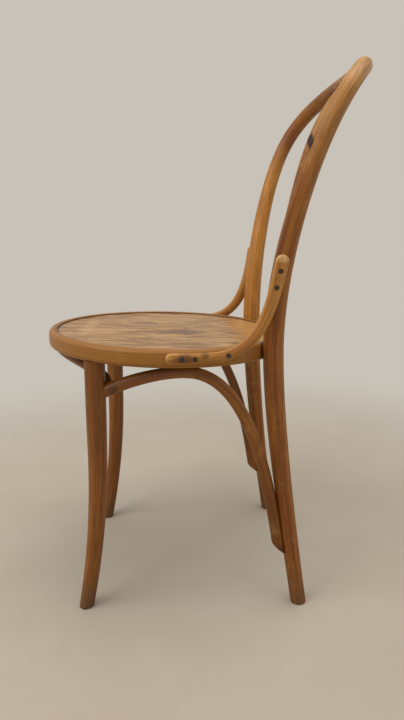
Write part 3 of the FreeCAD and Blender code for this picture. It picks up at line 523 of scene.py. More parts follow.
class Effects:
    """Shader groups shared by the finishes, each built once."""

    @staticmethod
    def start(name: str, inputs: dict[str, str],
              outputs: Sequence[str]) -> tuple[Graph, bpy.types.Node, bpy.types.Node]:
        """Begin a group.

        Args:
            name: The group's name.
            inputs: Names and kinds of its inputs.
            outputs: Names of its value outputs.

        Returns:
            The group's graph, its input node and its output node.
        """
        tree = bpy.data.node_groups.new(name, "ShaderNodeTree")
        for label, kind in inputs.items():
            tree.interface.new_socket(label, in_out="INPUT", socket_type=f"NodeSocket{kind}")
        for label in outputs:
            tree.interface.new_socket(label, in_out="OUTPUT", socket_type="NodeSocketFloat")
        graph = Graph(tree)
        return graph, graph.node("NodeGroupInput", {}), graph.node("NodeGroupOutput", {})

    @classmethod
    def beech_grain(cls) -> bpy.types.NodeTree:
        """Streaks, fibres and flecks of beech that follow the timber."""
        name = "Beech grain"
        if name in bpy.data.node_groups:
            return bpy.data.node_groups[name]
        graph, given, result = cls.start(name, {"Place": "Vector", "Depth": "Float"},
                                         ("Figure", "Fibre", "Fleck", "Height"))
        place = given.outputs["Place"]
        depth = given.outputs["Depth"]
        broad = graph.noise(place, 95, 2, 0.5, W=graph.math("MULTIPLY", depth, 95), Distortion=0.4)
        fine = graph.noise(place, 420, 3, 0.6, W=graph.math("MULTIPLY", depth, 420))
        pores = graph.noise(place, 1300, 1, 0.5, W=graph.math("MULTIPLY", depth, 1300))
        figure = graph.ramp(broad, 0.34, 0.66)
        fibre = graph.ramp(fine, 0.36, 0.68)
        fleck = graph.ramp(pores, 0.62, 0.74)
        height = graph.math("SUBTRACT", graph.math("MULTIPLY", fibre, 0.5), fleck)
        for label, value in (("Figure", figure), ("Fibre", fibre), ("Fleck", fleck),
                             ("Height", height)):
            graph.tree.links.new(value, result.inputs[label])
        return graph.tree

    @classmethod
    def stain(cls) -> bpy.types.NodeTree:
        """A soft-edged patch round a place."""
        name = "Local patch"
        if name in bpy.data.node_groups:
            return bpy.data.node_groups[name]
        graph, given, result = cls.start(
            name, {"Place": "Vector", "Centre": "Vector", "Reach": "Vector", "Ragged": "Float"},
            ("Mask",))
        gap = graph.node("ShaderNodeVectorMath", {0: given.outputs["Place"],
                                                  1: given.outputs["Centre"]},
                         operation="SUBTRACT")
        scaled = graph.node("ShaderNodeVectorMath", {0: gap.outputs[0], 1: given.outputs["Reach"]},
                            operation="DIVIDE")
        length = graph.node("ShaderNodeVectorMath", {0: scaled.outputs[0]}, operation="LENGTH")
        cloud = graph.noise(given.outputs["Place"], 70, 4, 0.7)
        edge = graph.math("MULTIPLY", graph.math("SUBTRACT", cloud, 0.5), given.outputs["Ragged"])
        mask = graph.ramp(graph.math("ADD", length.outputs["Value"], edge), 1.1, 0.5)
        graph.tree.links.new(mask, result.inputs["Mask"])
        return graph.tree

    @classmethod
    def wear(cls) -> bpy.types.NodeTree:
        """Patches where the varnish has rubbed thin, and grime that gathers low on the legs."""
        name = "Rubbed varnish"
        if name in bpy.data.node_groups:
            return bpy.data.node_groups[name]
        graph, given, result = cls.start(name, {"Place": "Vector"}, ("Rub", "Grime", "Speck"))
        place = given.outputs["Place"]
        cloud = graph.noise(place, 22, 5, 0.65)
        height = graph.node("ShaderNodeSeparateXYZ", {0: place}).outputs[2]
        low = graph.ramp(height, 0.085, 0.0)
        patchy = graph.ramp(graph.noise(place, 60, 4, 0.7), 0.35, 0.6, 0.45, 1.0)
        dots = graph.node("ShaderNodeTexVoronoi", {"Vector": place, "Scale": 130.0})
        speck = graph.math("MULTIPLY", graph.ramp(dots.outputs["Distance"], 0.13, 0.05),
                           graph.ramp(cloud, 0.5, 0.62))
        for label, value in (("Rub", graph.ramp(cloud, 0.52, 0.72)),
                             ("Grime", graph.math("MULTIPLY", low, patchy)), ("Speck", speck)):
            graph.tree.links.new(value, result.inputs[label])
        return graph.tree


@dataclass(frozen=True)
class Patch:
    """A local change of colour on a finish."""

    centre: tuple[float, float, float]
    reach: tuple[float, float, float]
    colour: tuple[float, float, float, float]
    strength: float = 0.8
    ragged: float = 0.8


@dataclass(frozen=True)
class BeechFinish:
    """Varnished beech whose grain follows the bent timber."""

    name: str
    slot: Slot
    pale: tuple[float, float, float, float]
    deep: tuple[float, float, float, float]
    streak: tuple[float, float, float, float]
    rubbed: tuple[float, float, float, float] = tone(182, 138, 74)
    grime: tuple[float, float, float, float] = tone(84, 66, 44)
    rub: float = 0.35
    gloss: float = 0.42
    patches: tuple[Patch, ...] = ()
    # rebate: paint shade into the ring's rebate, where the gap round the panel lies
    rebate: bool = False

    def material(self) -> bpy.types.Material:
        """The finish as a material, built once."""
        if self.name in bpy.data.materials:
            return bpy.data.materials[self.name]
        made = bpy.data.materials.new(self.name)
        made.use_nodes = True
        graph = Graph(made.node_tree)
        place = graph.node("ShaderNodeTexCoord", {}).outputs["Object"]
        timber = graph.node("ShaderNodeAttribute", {}, attribute_name=GRAIN).outputs["Vector"]
        depth = graph.node("ShaderNodeAttribute", {}, attribute_name=GRAIN_DEPTH).outputs["Fac"]
        grain = graph.node("ShaderNodeGroup", {"Place": timber, "Depth": depth},
                           node_tree=Effects.beech_grain())
        worn = graph.node("ShaderNodeGroup", {"Place": place}, node_tree=Effects.wear())
        colour = graph.mix(grain.outputs["Figure"], self.pale, self.deep)
        for patch in self.patches:
            colour = graph.mix(self.patch_mask(graph, place, patch), colour, patch.colour)
        streaks = graph.math("MULTIPLY", grain.outputs["Fibre"], 0.5)
        colour = graph.mix(streaks, colour, self.streak)
        flecks = graph.math("MULTIPLY", grain.outputs["Fleck"], 0.4)
        colour = graph.mix(flecks, colour, self.streak)
        rub = graph.math("MULTIPLY", worn.outputs["Rub"], self.rub)
        colour = graph.mix(rub, colour, self.rubbed)
        colour = graph.mix(graph.math("MULTIPLY", worn.outputs["Grime"], 0.75), colour, self.grime)
        colour = graph.mix(graph.math("MULTIPLY", worn.outputs["Speck"], 0.5), colour, self.grime)
        # Painted shade: a near-black brown in the ring's rebate, below the rim
        if self.rebate:
            colour = graph.mix(self.rebate_shade_mask(graph, timber, depth), colour, tone(38, 22, 12))
        rough = graph.math("ADD", graph.math("MULTIPLY", worn.outputs["Rub"], 0.16),
                           graph.ramp(grain.outputs["Fibre"], 0, 1, self.gloss, self.gloss + 0.08))
        rough = graph.math("ADD", rough, graph.math("MULTIPLY", worn.outputs["Grime"], 0.25))
        bump = graph.node("ShaderNodeBump", {"Strength": 0.25, "Distance": 0.0004,
                                             "Height": grain.outputs["Height"]})
        coat = graph.ramp(worn.outputs["Rub"], 0, 1, 0.12, 0.03)
        shader = graph.node("ShaderNodeBsdfPrincipled",
                            {"Base Color": colour, "Roughness": rough, "Normal": bump.outputs[0],
                             "Coat Weight": coat, "Coat Roughness": 0.2,
                             "Specular IOR Level": 0.28})
        graph.node("ShaderNodeOutputMaterial", {"Surface": shader.outputs[0]})
        return made

    @staticmethod
    def patch_mask(graph: Graph, place: bpy.types.NodeSocket,
                   patch: Patch) -> bpy.types.NodeSocket:
        """Mask of one patch, with its strength."""
        inputs = {"Place": place, "Centre": patch.centre, "Reach": patch.reach,
                  "Ragged": patch.ragged}
        made = graph.node("ShaderNodeGroup", inputs, node_tree=Effects.stain())
        return graph.math("MULTIPLY", made.outputs["Mask"], patch.strength)

    @staticmethod
    def rebate_shade_mask(graph: Graph, timber: bpy.types.NodeSocket,
                    depth: bpy.types.NodeSocket) -> bpy.types.NodeSocket:
        """Painted shade in the ring's rebate, below its rim, where the gap round the panel lies.
        """
        inset = graph.node("ShaderNodeSeparateXYZ", {0: timber}).outputs[2]
        beyond = graph.ramp(inset, 0.0122, 0.0138)
        below = graph.ramp(depth, -0.0006, -0.002)
        return graph.math("MULTIPLY", beyond, below)


@dataclass(frozen=True)
class VeneerFinish:
    """The panel's veneer: grain from front to back with wavy dark streaks."""

    name: str = "seat veneer"
    slot: Slot = Slot.VENEER
    pale: tuple[float, float, float, float] = tone(186, 145, 90)
    deep: tuple[float, float, float, float] = tone(142, 102, 56)
    streak: tuple[float, float, float, float] = tone(84, 54, 28)
    # edge: dark tone of the specks, and of the painted shade at the panel's edge
    edge: tuple[float, float, float, float] = tone(70, 44, 28)
    patches: tuple[Patch, ...] = (
        Patch((0.036, -0.036, 0.453), (0.030, 0.042, 0.02), tone(96, 66, 52), 0.75, 1.6),
        Patch((-0.055, -0.106, 0.456), (0.020, 0.036, 0.02), tone(118, 82, 54), 0.7, 1.8),
        Patch((-0.02, -0.205, 0.460), (0.10, 0.014, 0.02), tone(196, 158, 106), 0.3, 1.6),
        Patch((-0.02, 0.092, 0.447), (0.16, 0.045, 0.02), tone(184, 128, 62), 0.6, 1.0),
    )

    def material(self) -> bpy.types.Material:
        """The finish as a material."""
        made = bpy.data.materials.new(self.name)
        made.use_nodes = True
        graph = Graph(made.node_tree)
        place = graph.node("ShaderNodeTexCoord", {}).outputs["Object"]
        inset = graph.node("ShaderNodeAttribute", {}, attribute_name=GRAIN_DEPTH).outputs["Fac"]
        drawn = graph.node("ShaderNodeMapping", {"Vector": place, "Scale": (1.0, 0.12, 1.0)})
        along = drawn.outputs[0]
        broad = graph.ramp(graph.noise(along, 55, 3, 0.55, Distortion=0.9), 0.36, 0.64)
        wavy = graph.ramp(graph.noise(along, 115, 3, 0.6, Distortion=1.8), 0.48, 0.62)
        fine = graph.ramp(graph.noise(along, 520, 2, 0.6), 0.4, 0.68)
        colour = graph.mix(broad, self.pale, self.deep)
        colour = graph.mix(graph.math("MULTIPLY", wavy, 0.72), colour, self.streak)
        colour = graph.mix(graph.math("MULTIPLY", fine, 0.22), colour, self.streak)
        for patch in self.patches:
            colour = graph.mix(BeechFinish.patch_mask(graph, place, patch), colour, patch.colour)
        worn = graph.node("ShaderNodeGroup", {"Place": place}, node_tree=Effects.wear())
        colour = graph.mix(graph.math("MULTIPLY", worn.outputs["Speck"], 0.5), colour, self.edge)
        # Painted shade: the panel darkens within 4 mm of its edge, at the gap to the ring's rebate
        rim = graph.math("MULTIPLY", graph.ramp(inset, 0.004, 0.0), 0.85)
        colour = graph.mix(rim, colour, self.edge)
        rough = graph.ramp(worn.outputs["Rub"], 0, 1, 0.44, 0.55)
        bump = graph.node("ShaderNodeBump", {"Strength": 0.2, "Distance": 0.0003, "Height": fine})
        shader = graph.node("ShaderNodeBsdfPrincipled",
                            {"Base Color": colour, "Roughness": rough, "Normal": bump.outputs[0],
                             "Coat Weight": 0.08, "Coat Roughness": 0.2,
                             "Specular IOR Level": 0.3})
        graph.node("ShaderNodeOutputMaterial", {"Surface": shader.outputs[0]})
        return made


@dataclass(frozen=True)
class SteelFinish:
    """Dull dark steel of old screws, with a little rust."""

    name: str = "old screw steel"
    slot: Slot = Slot.STEEL
    steel: tuple[float, float, float, float] = tone(92, 84, 78)
    dark: tuple[float, float, float, float] = tone(52, 44, 38)
    rust: tuple[float, float, float, float] = tone(98, 60, 36)

    def material(self) -> bpy.types.Material:
        """The finish as a material, built once."""
        if self.name in bpy.data.materials:
            return bpy.data.materials[self.name]
        made = bpy.data.materials.new(self.name)
        made.use_nodes = True
        graph = Graph(made.node_tree)
        place = graph.node("ShaderNodeTexCoord", {}).outputs["Object"]
        cloud = graph.noise(place, 600, 3, 0.6)
        spots = graph.ramp(graph.noise(place, 1100, 2, 0.6), 0.52, 0.66)
        colour = graph.mix(graph.ramp(cloud, 0.35, 0.65), self.steel, self.dark)
        colour = graph.mix(graph.math("MULTIPLY", spots, 0.7), colour, self.rust)
        metal = graph.ramp(spots, 0, 1, 0.9, 0.25)
        rough = graph.ramp(cloud, 0.3, 0.7, 0.36, 0.55)
        shader = graph.node("ShaderNodeBsdfPrincipled",
                            {"Base Color": colour, "Roughness": rough, "Metallic": metal})
        graph.node("ShaderNodeOutputMaterial", {"Surface": shader.outputs[0]})
        return made


GOLDEN = tone(186, 124, 44)
TOP_BROWN = tone(134, 84, 34)
# Pale tone of rubbed varnish, also used as a painted highlight on the hoop's top
PALE_WEAR_AND_HIGHLIGHT = tone(206, 170, 112)
REDDISH = tone(120, 56, 20)
JOINT_DARK = tone(58, 30, 16)

# Pale top of the hoop: partly rubbed wear, partly a painted highlight from the overhead light
TOP_PATCHES = (
    Patch((0.13, 0.250, 0.885), (0.18, 0.09, 0.10), PALE_WEAR_AND_HIGHLIGHT, 0.9, 1.3),
    Patch((0.17, 0.21, 0.80), (0.09, 0.12, 0.16), tone(178, 126, 62), 0.75, 1.3),
)
HOOP_FINISH = BeechFinish(
    "hoop beech", Slot.ROD, tone(152, 92, 26), tone(114, 62, 12), tone(82, 40, 6),
    patches=(
        Patch((-0.17, 0.15, 0.60), (0.13, 0.3, 0.34), GOLDEN, 0.85, 1.0),
        Patch((-0.14, 0.22, 0.88), (0.16, 0.16, 0.19), TOP_BROWN, 0.6, 1.2),
        Patch((-0.177, 0.192, 0.809), (0.03, 0.03, 0.035), REDDISH, 0.6, 1.2),
        *TOP_PATCHES,
        Patch((0.15, 0.085, 0.442), (0.03, 0.006, 0.02), JOINT_DARK, 0.7, 0.3),
    ))
SPLICE_FINISH = BeechFinish(
    "splice beech", Slot.ROD, tone(160, 106, 50), tone(126, 76, 30), tone(88, 46, 14),
    patches=(*TOP_PATCHES,
             # Small near-black slit: painted shade of a narrow gap between the strip and the
             # upright
             Patch((0.194, 0.148, 0.750), (0.012, 0.005, 0.013), tone(30, 16, 8), 1.0, 0.3)))
LEG_FINISH = BeechFinish(
    "leg beech", Slot.ROD, tone(150, 92, 28), tone(116, 66, 14), tone(86, 44, 8), rub=0.2)
ARCH_FINISH = BeechFinish(
    "arch beech", Slot.ROD, tone(146, 90, 28), tone(110, 62, 14), tone(80, 40, 8),
    patches=(
        Patch((0.18, -0.15, 0.385), (0.03, 0.012, 0.02), JOINT_DARK, 0.7, 0.6),
        Patch((0.17, 0.12, 0.10), (0.03, 0.02, 0.012), JOINT_DARK, 0.6, 0.6),
    ))
# Bracket tones are raised above the other beech: partly its own paler timber, partly a painted
# highlight along the bracket
BRACKET_FINISH = BeechFinish(
    "bracket beech", Slot.ROD, tone(198, 142, 68), tone(158, 102, 38), tone(108, 60, 16), rub=0.4,
    patches=(
        Patch((0.205, -0.064, 0.446), (0.03, 0.004, 0.012), PALE_WEAR_AND_HIGHLIGHT, 0.4, 1.2),
        Patch((0.185, 0.117, 0.590), (0.03, 0.02, 0.012), PALE_WEAR_AND_HIGHLIGHT, 0.75, 0.6),
        Patch((0.21, -0.038, 0.444), (0.02, 0.018, 0.008), JOINT_DARK, 0.7, 1.4),
        Patch((0.21, -0.005, 0.447), (0.02, 0.008, 0.007), JOINT_DARK, 0.6, 1.4),
    ))
RING_FINISH = BeechFinish(
    "ring beech", Slot.RING, tone(172, 118, 44), tone(134, 84, 22), tone(104, 58, 12), rub=0.3,
    # rebate=True paints shade into the ring's rebate
    rebate=True,
    patches=(Patch((0.136, 0.091, 0.445), (0.02, 0.0045, 0.03), JOINT_DARK, 0.85, 0.3),))
VENEER_FINISH = VeneerFinish()
STEEL_FINISH = SteelFinish()


def hand_over(piece: bpy.types.Object, finish: BeechFinish | VeneerFinish, *nodes: str) -> None:
    """Dress a finished piece, give it its place in the frame and report it.

    Args:
        piece: The finished piece.
        finish: Its finish.
        nodes: CAD nodes that it stands for.
    """
    piece.data.materials.clear()
    piece.data.materials.append(finish.material())
    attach(piece, "root")
    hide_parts(*nodes)
    LOG.info("%s: %d faces, for %s", piece.name, len(piece.data.polygons), ", ".join(nodes))


# Sub-assemblies

@dataclass
class BackHoop:
    """One rod from foot to foot, with the strip glued to its left upright."""

    foot_x: float = 0.172
    foot_back: float = 0.215
    upright_angle: float = 50.3
    housing: float = 0.003
    waist: float = 0.440
    shoulder: tuple[float, float, float] = (0.1935, 0.246, 0.787)
    lean: float = math.radians(27.5)
    splay: float = math.radians(8)
    crown_back: float = 0.3245
    chair_height: float = 0.888
    diameters: tuple[float, float, float, float] = (0.026, 0.0335, 0.0265, 0.025)
    foot_pull: float = 0.190
    waist_pulls: tuple[float, float] = (0.110, 0.125)
    shoulder_pulls: tuple[float, float] = (0.085, 0.078)
    crown_pull: float = 0.118
    counts: tuple[int, int, int] = (44, 38, 46)
    below_floor: float = 0.014
    foot_round: float = 0.0012
    strip_low: float = 0.640
    strip_high: float = 0.815
    strip_proud: float = 0.0065
    strip_diameter: float = 0.022
    strip_turn: float = math.radians(25)
    strip_end_girth: float = 0.55
    strip_rise: float = 1.6
    strip_fullness: float = 0.8
    strip_grain: float = 0.31
    strip_count: int = 36
    stretches: list[Stretch] = field(default_factory=list)

    def __post_init__(self) -> None:
        """Work out the centre line of the left half."""
        stand_off = self.diameters[1] / 2 - self.housing
        edge = PLAN.point(self.upright_angle, 0, PLAN.ring_height / 2)
        edge += PLAN.outward(self.upright_angle) * stand_off
        foot = PLAN.at(self.foot_x, self.foot_back, 0)
        waist = Vector((edge.x, edge.y, self.waist))
        shoulder = PLAN.at(*self.shoulder)
        crown = PLAN.at(0, self.crown_back, self.chair_height - self.diameters[3] / 2)
        foot_way = Vector((-0.015, -math.sin(self.splay), math.cos(self.splay)))
        lean_way = Vector((0, math.sin(self.lean), math.cos(self.lean)))
        self.stretches = [
            Stretch((foot, foot + foot_way * self.foot_pull,
                     waist - AXIS_Z * self.waist_pulls[0], waist)),
            Stretch((waist, waist + AXIS_Z * self.waist_pulls[1],
                     shoulder - lean_way * self.shoulder_pulls[0], shoulder)),
            Stretch((shoulder, shoulder + lean_way * self.shoulder_pulls[1],
                     crown + AXIS_X * self.crown_pull, crown)),
        ]

    def stations(self) -> list[Station]:
        """Stations of the whole hoop, left foot to right foot."""
        half = []
        for number, stretch in enumerate(self.stretches):
            start, end = self.diameters[number:number + 2]
            half += stretch.stations(self.counts[number], start, end, min(number, 1))
        foot = half[0]
        half.insert(0, Station(foot.point - foot.way * self.below_floor, foot.way, foot.diameter))
        other = []
        for station in reversed(half[:-1]):
            way = Vector((station.way.x, -station.way.y, -station.way.z))
            other.append(Station(mirror(station.point, -1), way, station.diameter))
        return half + other

    def at_height(self, height: float) -> tuple[Vector, Vector]:
        """Point and direction of the left upright's centre line at a height."""
        for stretch in self.stretches:
            if stretch.poles[0].z <= height <= stretch.poles[3].z:
                heights = [stretch.raw(mark).z for mark in stretch.marks]
                mark = float(np.interp(height, heights, stretch.marks))
                return stretch.raw(mark), stretch.raw_way(mark)
        raise ValueError(f"the upright has no point at {height} m")

    def radius_at(self, height: float) -> float:
        """Radius of the left upright at a height."""
        if height < self.waist:
            share = height / self.waist
            start, end = self.diameters[0:2]
        else:
            share = min((height - self.waist) / (self.shoulder[2] - self.waist), 1)
            start, end = self.diameters[1:3]
        ease = (1 - math.cos(math.pi * share)) / 2
        return (start + (end - start) * ease) / 2

    def build(self) -> None:
        """Bend the hoop, saw its feet level and glue the strip to it."""
        stations = self.stations()
        hoop = sweep("hoop_bent_rod", stations)
        floor = Vector((0, 0, 0))
        trim(hoop, floor, -AXIS_Z)
        for side in (1, -1):
            foot = Vector((side * self.foot_x, PLAN.middle + self.foot_back, 0))
            ease_end(hoop, foot, -AXIS_Z, self.foot_round)
        CentreLine(stations).lay_grain(hoop, 0.0)
        smooth(hoop)
        hand_over(hoop, HOOP_FINISH, "back_hoop")
        self.build_strip()

    def build_strip(self) -> None:
        """The slender strip along the inner front of the left upright."""
        facing = Vector((-math.sin(self.strip_turn), -math.cos(self.strip_turn), 0))
        stations = []
        for number in range(self.strip_count + 1):
            share = number / self.strip_count
            height = self.strip_low + share * (self.strip_high - self.strip_low)
            point, way = self.at_height(height)
            swell = 0.0
            if 0 < share < 1:
                swell = math.sin(math.pi * share ** self.strip_rise) ** self.strip_fullness
            girth = self.strip_end_girth + (1 - self.strip_end_girth) * swell
            reach = self.radius_at(height) + self.strip_proud * swell
            reach -= self.strip_diameter / 2 * girth
            stations.append(Station(point + square_to(way, facing) * reach, way,
                                    self.strip_diameter * girth))
        strip = sweep("splice_slip", stations)
        CentreLine(stations).lay_grain(strip, self.strip_grain)
        smooth(strip)
        hand_over(strip, SPLICE_FINISH, "hoop_splice_strip")


@dataclass
class Seat:
    """The bent ring and the veneered panel in its rebate."""

    border: float = 0.014
    panel_thickness: float = 0.005
    panel_recess: float = 0.0026
    panel_gap: float = 0.00035
    outer_round: float = 0.008
    rim_round: float = 0.0024
    inner_round: float = 0.0012
    panel_ease: float = 0.0008
    turns: int = 160
    panel_insets: tuple[float, ...] = (0.0015, 0.0025, 0.006, 0.02)

    def build(self) -> None:
        """Build the ring and the panel."""
        self.build_ring()
        self.build_panel()

    def shape_to_plan(self, piece: bpy.types.Object) -> np.ndarray:
        """Turn a round piece into the seat's oval and lay it in the seat.

        Args:
            piece: A piece about the Z axis, its radii measured from the side arcs' radius.

        Returns:
            Inset and height of each vertex in the seat's own frame.
        """
        rows = []
        for vertex in piece.data.vertices:
            radius = math.hypot(vertex.co.x, vertex.co.y)
            inset = PLAN.side_radius - radius
            height = vertex.co.z
            if radius > SEAM:
                x, y = PLAN.local(math.atan2(vertex.co.y, vertex.co.x), inset)
            else:
                x, y = 0.0, 0.0
            rows.append((x, y, inset, height))
            vertex.co = (x, y, height)
        piece.data.transform(PLAN.matrix)
        return np.array(rows)

    def build_ring(self) -> None:
        """Spin the ring's profile, with its rebate and rounded edges."""
        outer = PLAN.side_radius
        floor = -(self.panel_thickness + self.panel_recess)
        inner = outer - PLAN.ring_width
        corners = ((outer, 0.0), (outer, -PLAN.ring_height), (inner, -PLAN.ring_height),
                   (inner, floor), (outer - self.border, floor), (outer - self.border, 0.0))
        rounds = (self.outer_round, self.outer_round, self.inner_round, self.inner_round, 0.0,
                  self.rim_round)
        select_only()
        bpy.ops.mesh.primitive_circle_add(vertices=len(corners), radius=PLAN.ring_width / 2,
                                          fill_type="NOTHING", location=(0, 0, 0))
        ring = named("ring_of_bent_beech")
        for vertex, (x, z) in zip(ring.data.vertices, corners):
            vertex.co = (x, 0, z)
        for (x, z), width in zip(corners, rounds):
            if width > 0:
                with editing(ring, "VERT") as mesh:
                    for vertex in mesh.verts:
                        vertex.select_set((vertex.co - Vector((x, 0, z))).length < SEAM)
                    bmesh.update_edit_mesh(ring.data)
                    bpy.ops.mesh.bevel(offset=width, segments=7 if width > 0.005 else 4,
                                       affect="VERTICES")
        with editing(ring, "EDGE"):
            bpy.ops.mesh.select_all(action="SELECT")
            bpy.ops.mesh.spin(steps=self.turns, angle=2 * math.pi, center=(0, 0, 0),
                              axis=(0, 0, 1))
        settle(ring)
        rows = self.shape_to_plan(ring)
        grain = np.column_stack((rows[:, 0] * ALONG, rows[:, 1] * ALONG, rows[:, 2]))
        write_grain(ring, grain, rows[:, 3])
        smooth(ring, 50)
        hand_over(ring, RING_FINISH, "seat_ring")

    def build_panel(self) -> None:
        """Cut the panel, ease its upper edge and lay it in the rebate."""
        select_only()
        radius = PLAN.side_radius - self.border - self.panel_gap
        bpy.ops.mesh.primitive_circle_add(vertices=self.turns, radius=radius, fill_type="NGON",
                                          location=(0, 0, -self.panel_recess))
        panel = named("veneered_panel")
        with editing(panel):
            bpy.ops.mesh.select_all(action="SELECT")
            bpy.ops.mesh.extrude_region_move(
                TRANSFORM_OT_translate={"value": (0, 0, -self.panel_thickness)})
        settle(panel)
        with editing(panel, "EDGE") as mesh:
            for edge in mesh.edges:
                level = all(abs(vertex.co.z + self.panel_recess) < SEAM for vertex in edge.verts)
                edge.select_set(level)
            bmesh.update_edit_mesh(panel.data)
            bpy.ops.mesh.bevel(offset=self.panel_ease, segments=2, affect="EDGES")
        with editing(panel) as mesh:
            top = max(mesh.faces, key=lambda face: face.calc_center_median().z)
            top.select_set(True)
            bmesh.update_edit_mesh(panel.data)
            for inset in self.panel_insets:
                bpy.ops.mesh.inset(thickness=inset)
        rows = self.shape_to_plan(panel)
        grain = np.column_stack((rows[:, 0], rows[:, 1] * ALONG, rows[:, 3]))
        write_grain(panel, grain, rows[:, 2] - self.border - self.panel_gap)
        smooth(panel)
        hand_over(panel, VENEER_FINISH, "seat_panel")


@dataclass
class FrontLegs:
    """The two front legs, tapered and swept forward at the foot."""

    angle: float = 35.3
    inset: float = 0.0185
    top_diameter: float = 0.033
    foot_diameter: float = 0.0245
    spread: float = 0.009
    rake: float = 0.0097
    sweep_forward: float = 0.0275
    straight: float = 0.35
    taper_start: float = 0.2
    taper_power: float = 1.15
    foot_round: float = 0.0012
    into_ring: float = 0.0005
    grain_start: float = 0.53
    ends: tuple[float, float] = (-0.05, 1.035)
    count: int = 64

    @property
    def top(self) -> Vector:
        """Middle of the left leg at the ring's underside."""
        return PLAN.point(-self.angle, self.inset, PLAN.ring_height)

    def point(self, share: float) -> Vector:
        """Left leg's centre line, from 0 under the ring to 1 at the floor."""
        bend = max(0.0, (share - self.straight) / (1 - self.straight))
        forward = self.rake * share + self.sweep_forward * bend ** 2
        top = self.top
        return Vector((top.x + self.spread * share, top.y - forward, top.z * (1 - share)))

    def diameter(self, share: float) -> float:
        """Diameter at a share of the leg's length."""
        taper = min(max((share - self.taper_start) / (1 - self.taper_start), 0.0), 1.0)
        change = (self.foot_diameter - self.top_diameter) * taper ** self.taper_power
        return self.top_diameter + change

    def stations(self, side: int) -> list[Station]:
        """Stations of one leg, from inside the ring to below the floor."""
        made = []
        step = 0.001
        for share in np.linspace(*self.ends, self.count):
            way = (self.point(share + step) - self.point(share - step)).normalized()
            made.append(Station(mirror(self.point(share), side), mirror(way, side),
                                self.diameter(share)))
        return made

    def build(self) -> None:
        """Build both legs."""
        for name, side in SIDES:
            stations = self.stations(side)
            leg = sweep(f"front_leg_rod_{name}", stations)
            under = PLAN.point(0, 0, PLAN.ring_height - self.into_ring)
            trim(leg, under, PLAN.up)
            trim(leg, Vector((0, 0, 0)), -AXIS_Z)
            foot = mirror(self.point(1), side)
            ease_end(leg, foot, -AXIS_Z, self.foot_round)
            CentreLine(stations).lay_grain(leg, self.grain_start + GRAIN_APART * side)
            smooth(leg)
            hand_over(leg, LEG_FINISH, f"front_leg_{name}")


@dataclass
class SideArches:
    """The bent arches from the front legs, under the ring and down the rear legs."""

    hoop: BackHoop
    legs: FrontLegs
    diameters: tuple[float, float, float] = (0.021, 0.0185, 0.020)
    front_drop: float = 0.053
    crown_back: float = 0.036
    front_slope: float = math.radians(24)
    end_height: float = 0.104
    bed: float = 0.0025
    cut_angle: float = math.radians(42)
    front_pull: float = 0.045
    rear_pull: float = 0.075
    leg_pull: float = 0.200
    gap: float = 0.00025
    past_end: float = 0.016
    end_round: float = 0.0006
    grain_start: float = 0.91
    toe_share: float = 0.2
    rear_shares: tuple[float, float] = (0.86, 0.94)
    toe: Vector = field(default_factory=lambda: Vector((0, -0.85, 0.53)).normalized())

    def stretches(self, side: int) -> tuple[Stretch, Stretch]:
        """Centre line of one arch: front leg to crown, and crown to its lower end."""
        bed = PLAN.point(PLAN.angle_at(self.crown_back), PLAN.ring_width / 2, PLAN.ring_height)
        crown = bed - PLAN.up * (self.diameters[1] / 2 + self.gap)
        share = self.front_drop / self.legs.top.z
        front = self.legs.point(share) + AXIS_Y * self.legs.top_diameter * 0.3
        front_way = Vector((0.1, math.cos(self.front_slope), math.sin(self.front_slope)))
        beside, way = self.hoop.at_height(self.end_height)
        reach = self.hoop.radius_at(self.end_height) + self.diameters[2] / 2 - self.bed
        end = beside + square_to(way, -AXIS_Y) * reach
        poles = ((front, front + front_way * self.front_pull,
                  crown - PLAN.rearward * self.front_pull, crown),
                 (crown, crown + PLAN.rearward * self.rear_pull, end + way * self.leg_pull, end))
        first, second = (Stretch([mirror(pole, side) for pole in four]) for four in poles)
        return first, second

    def heads(self, side: int) -> list[tuple[Vector, Vector]]:
        """Screw heads of one arch and the directions of the screws."""
        front, rear = self.stretches(side)
        made = [surface_head(front, 1, -PLAN.up, self.diameters[1] / 2 - SINK)]
        head, _ = surface_head(front, self.toe_share, Vector((0, 0.6, -1)),
                               self.diameters[0] / 2 - SINK)
        made.append((head, self.toe))
        for share in self.rear_shares:
            made.append(surface_head(rear, share, -AXIS_Y, self.diameters[2] / 2 - SINK))
        return made

    def build(self) -> None:
        """Build both arches, each with its lower end sawn on the slant."""
        for name, side in SIDES:
            front, rear = self.stretches(side)
            stations = front.stations(16, self.diameters[0], self.diameters[1])
            stations += rear.stations(54, self.diameters[1], self.diameters[2], 1)
            last = stations[-1]
            past = last.point + last.way * self.past_end
            stations.append(Station(past, last.way, last.diameter))
            arch = sweep(f"side_arch_rod_{name}", stations)
            facing = Vector((0, -math.sin(self.cut_angle), -math.cos(self.cut_angle)))
            trim(arch, last.point, facing)
            ease_end(arch, last.point, facing, self.end_round)
            bore(arch, self.heads(side))
            CentreLine(stations).lay_grain(arch, self.grain_start + GRAIN_APART * side)
            smooth(arch)
            hand_over(arch, ARCH_FINISH, f"side_arch_{name}")


def surface_head(stretch: Stretch, share: float, outward: Vector,
                 reach: float) -> tuple[Vector, Vector]:
    """Place of a screw head on a member's surface.

    Args:
        stretch: The member's centre line.
        share: Share of its length.
        outward: Rough direction that the head faces.
        reach: Distance from the centre line.

    Returns:
        The head's middle and the direction that the screw runs.
    """
    out = square_to(stretch.way(share), outward)
    return stretch.point(share) + out * reach, -out


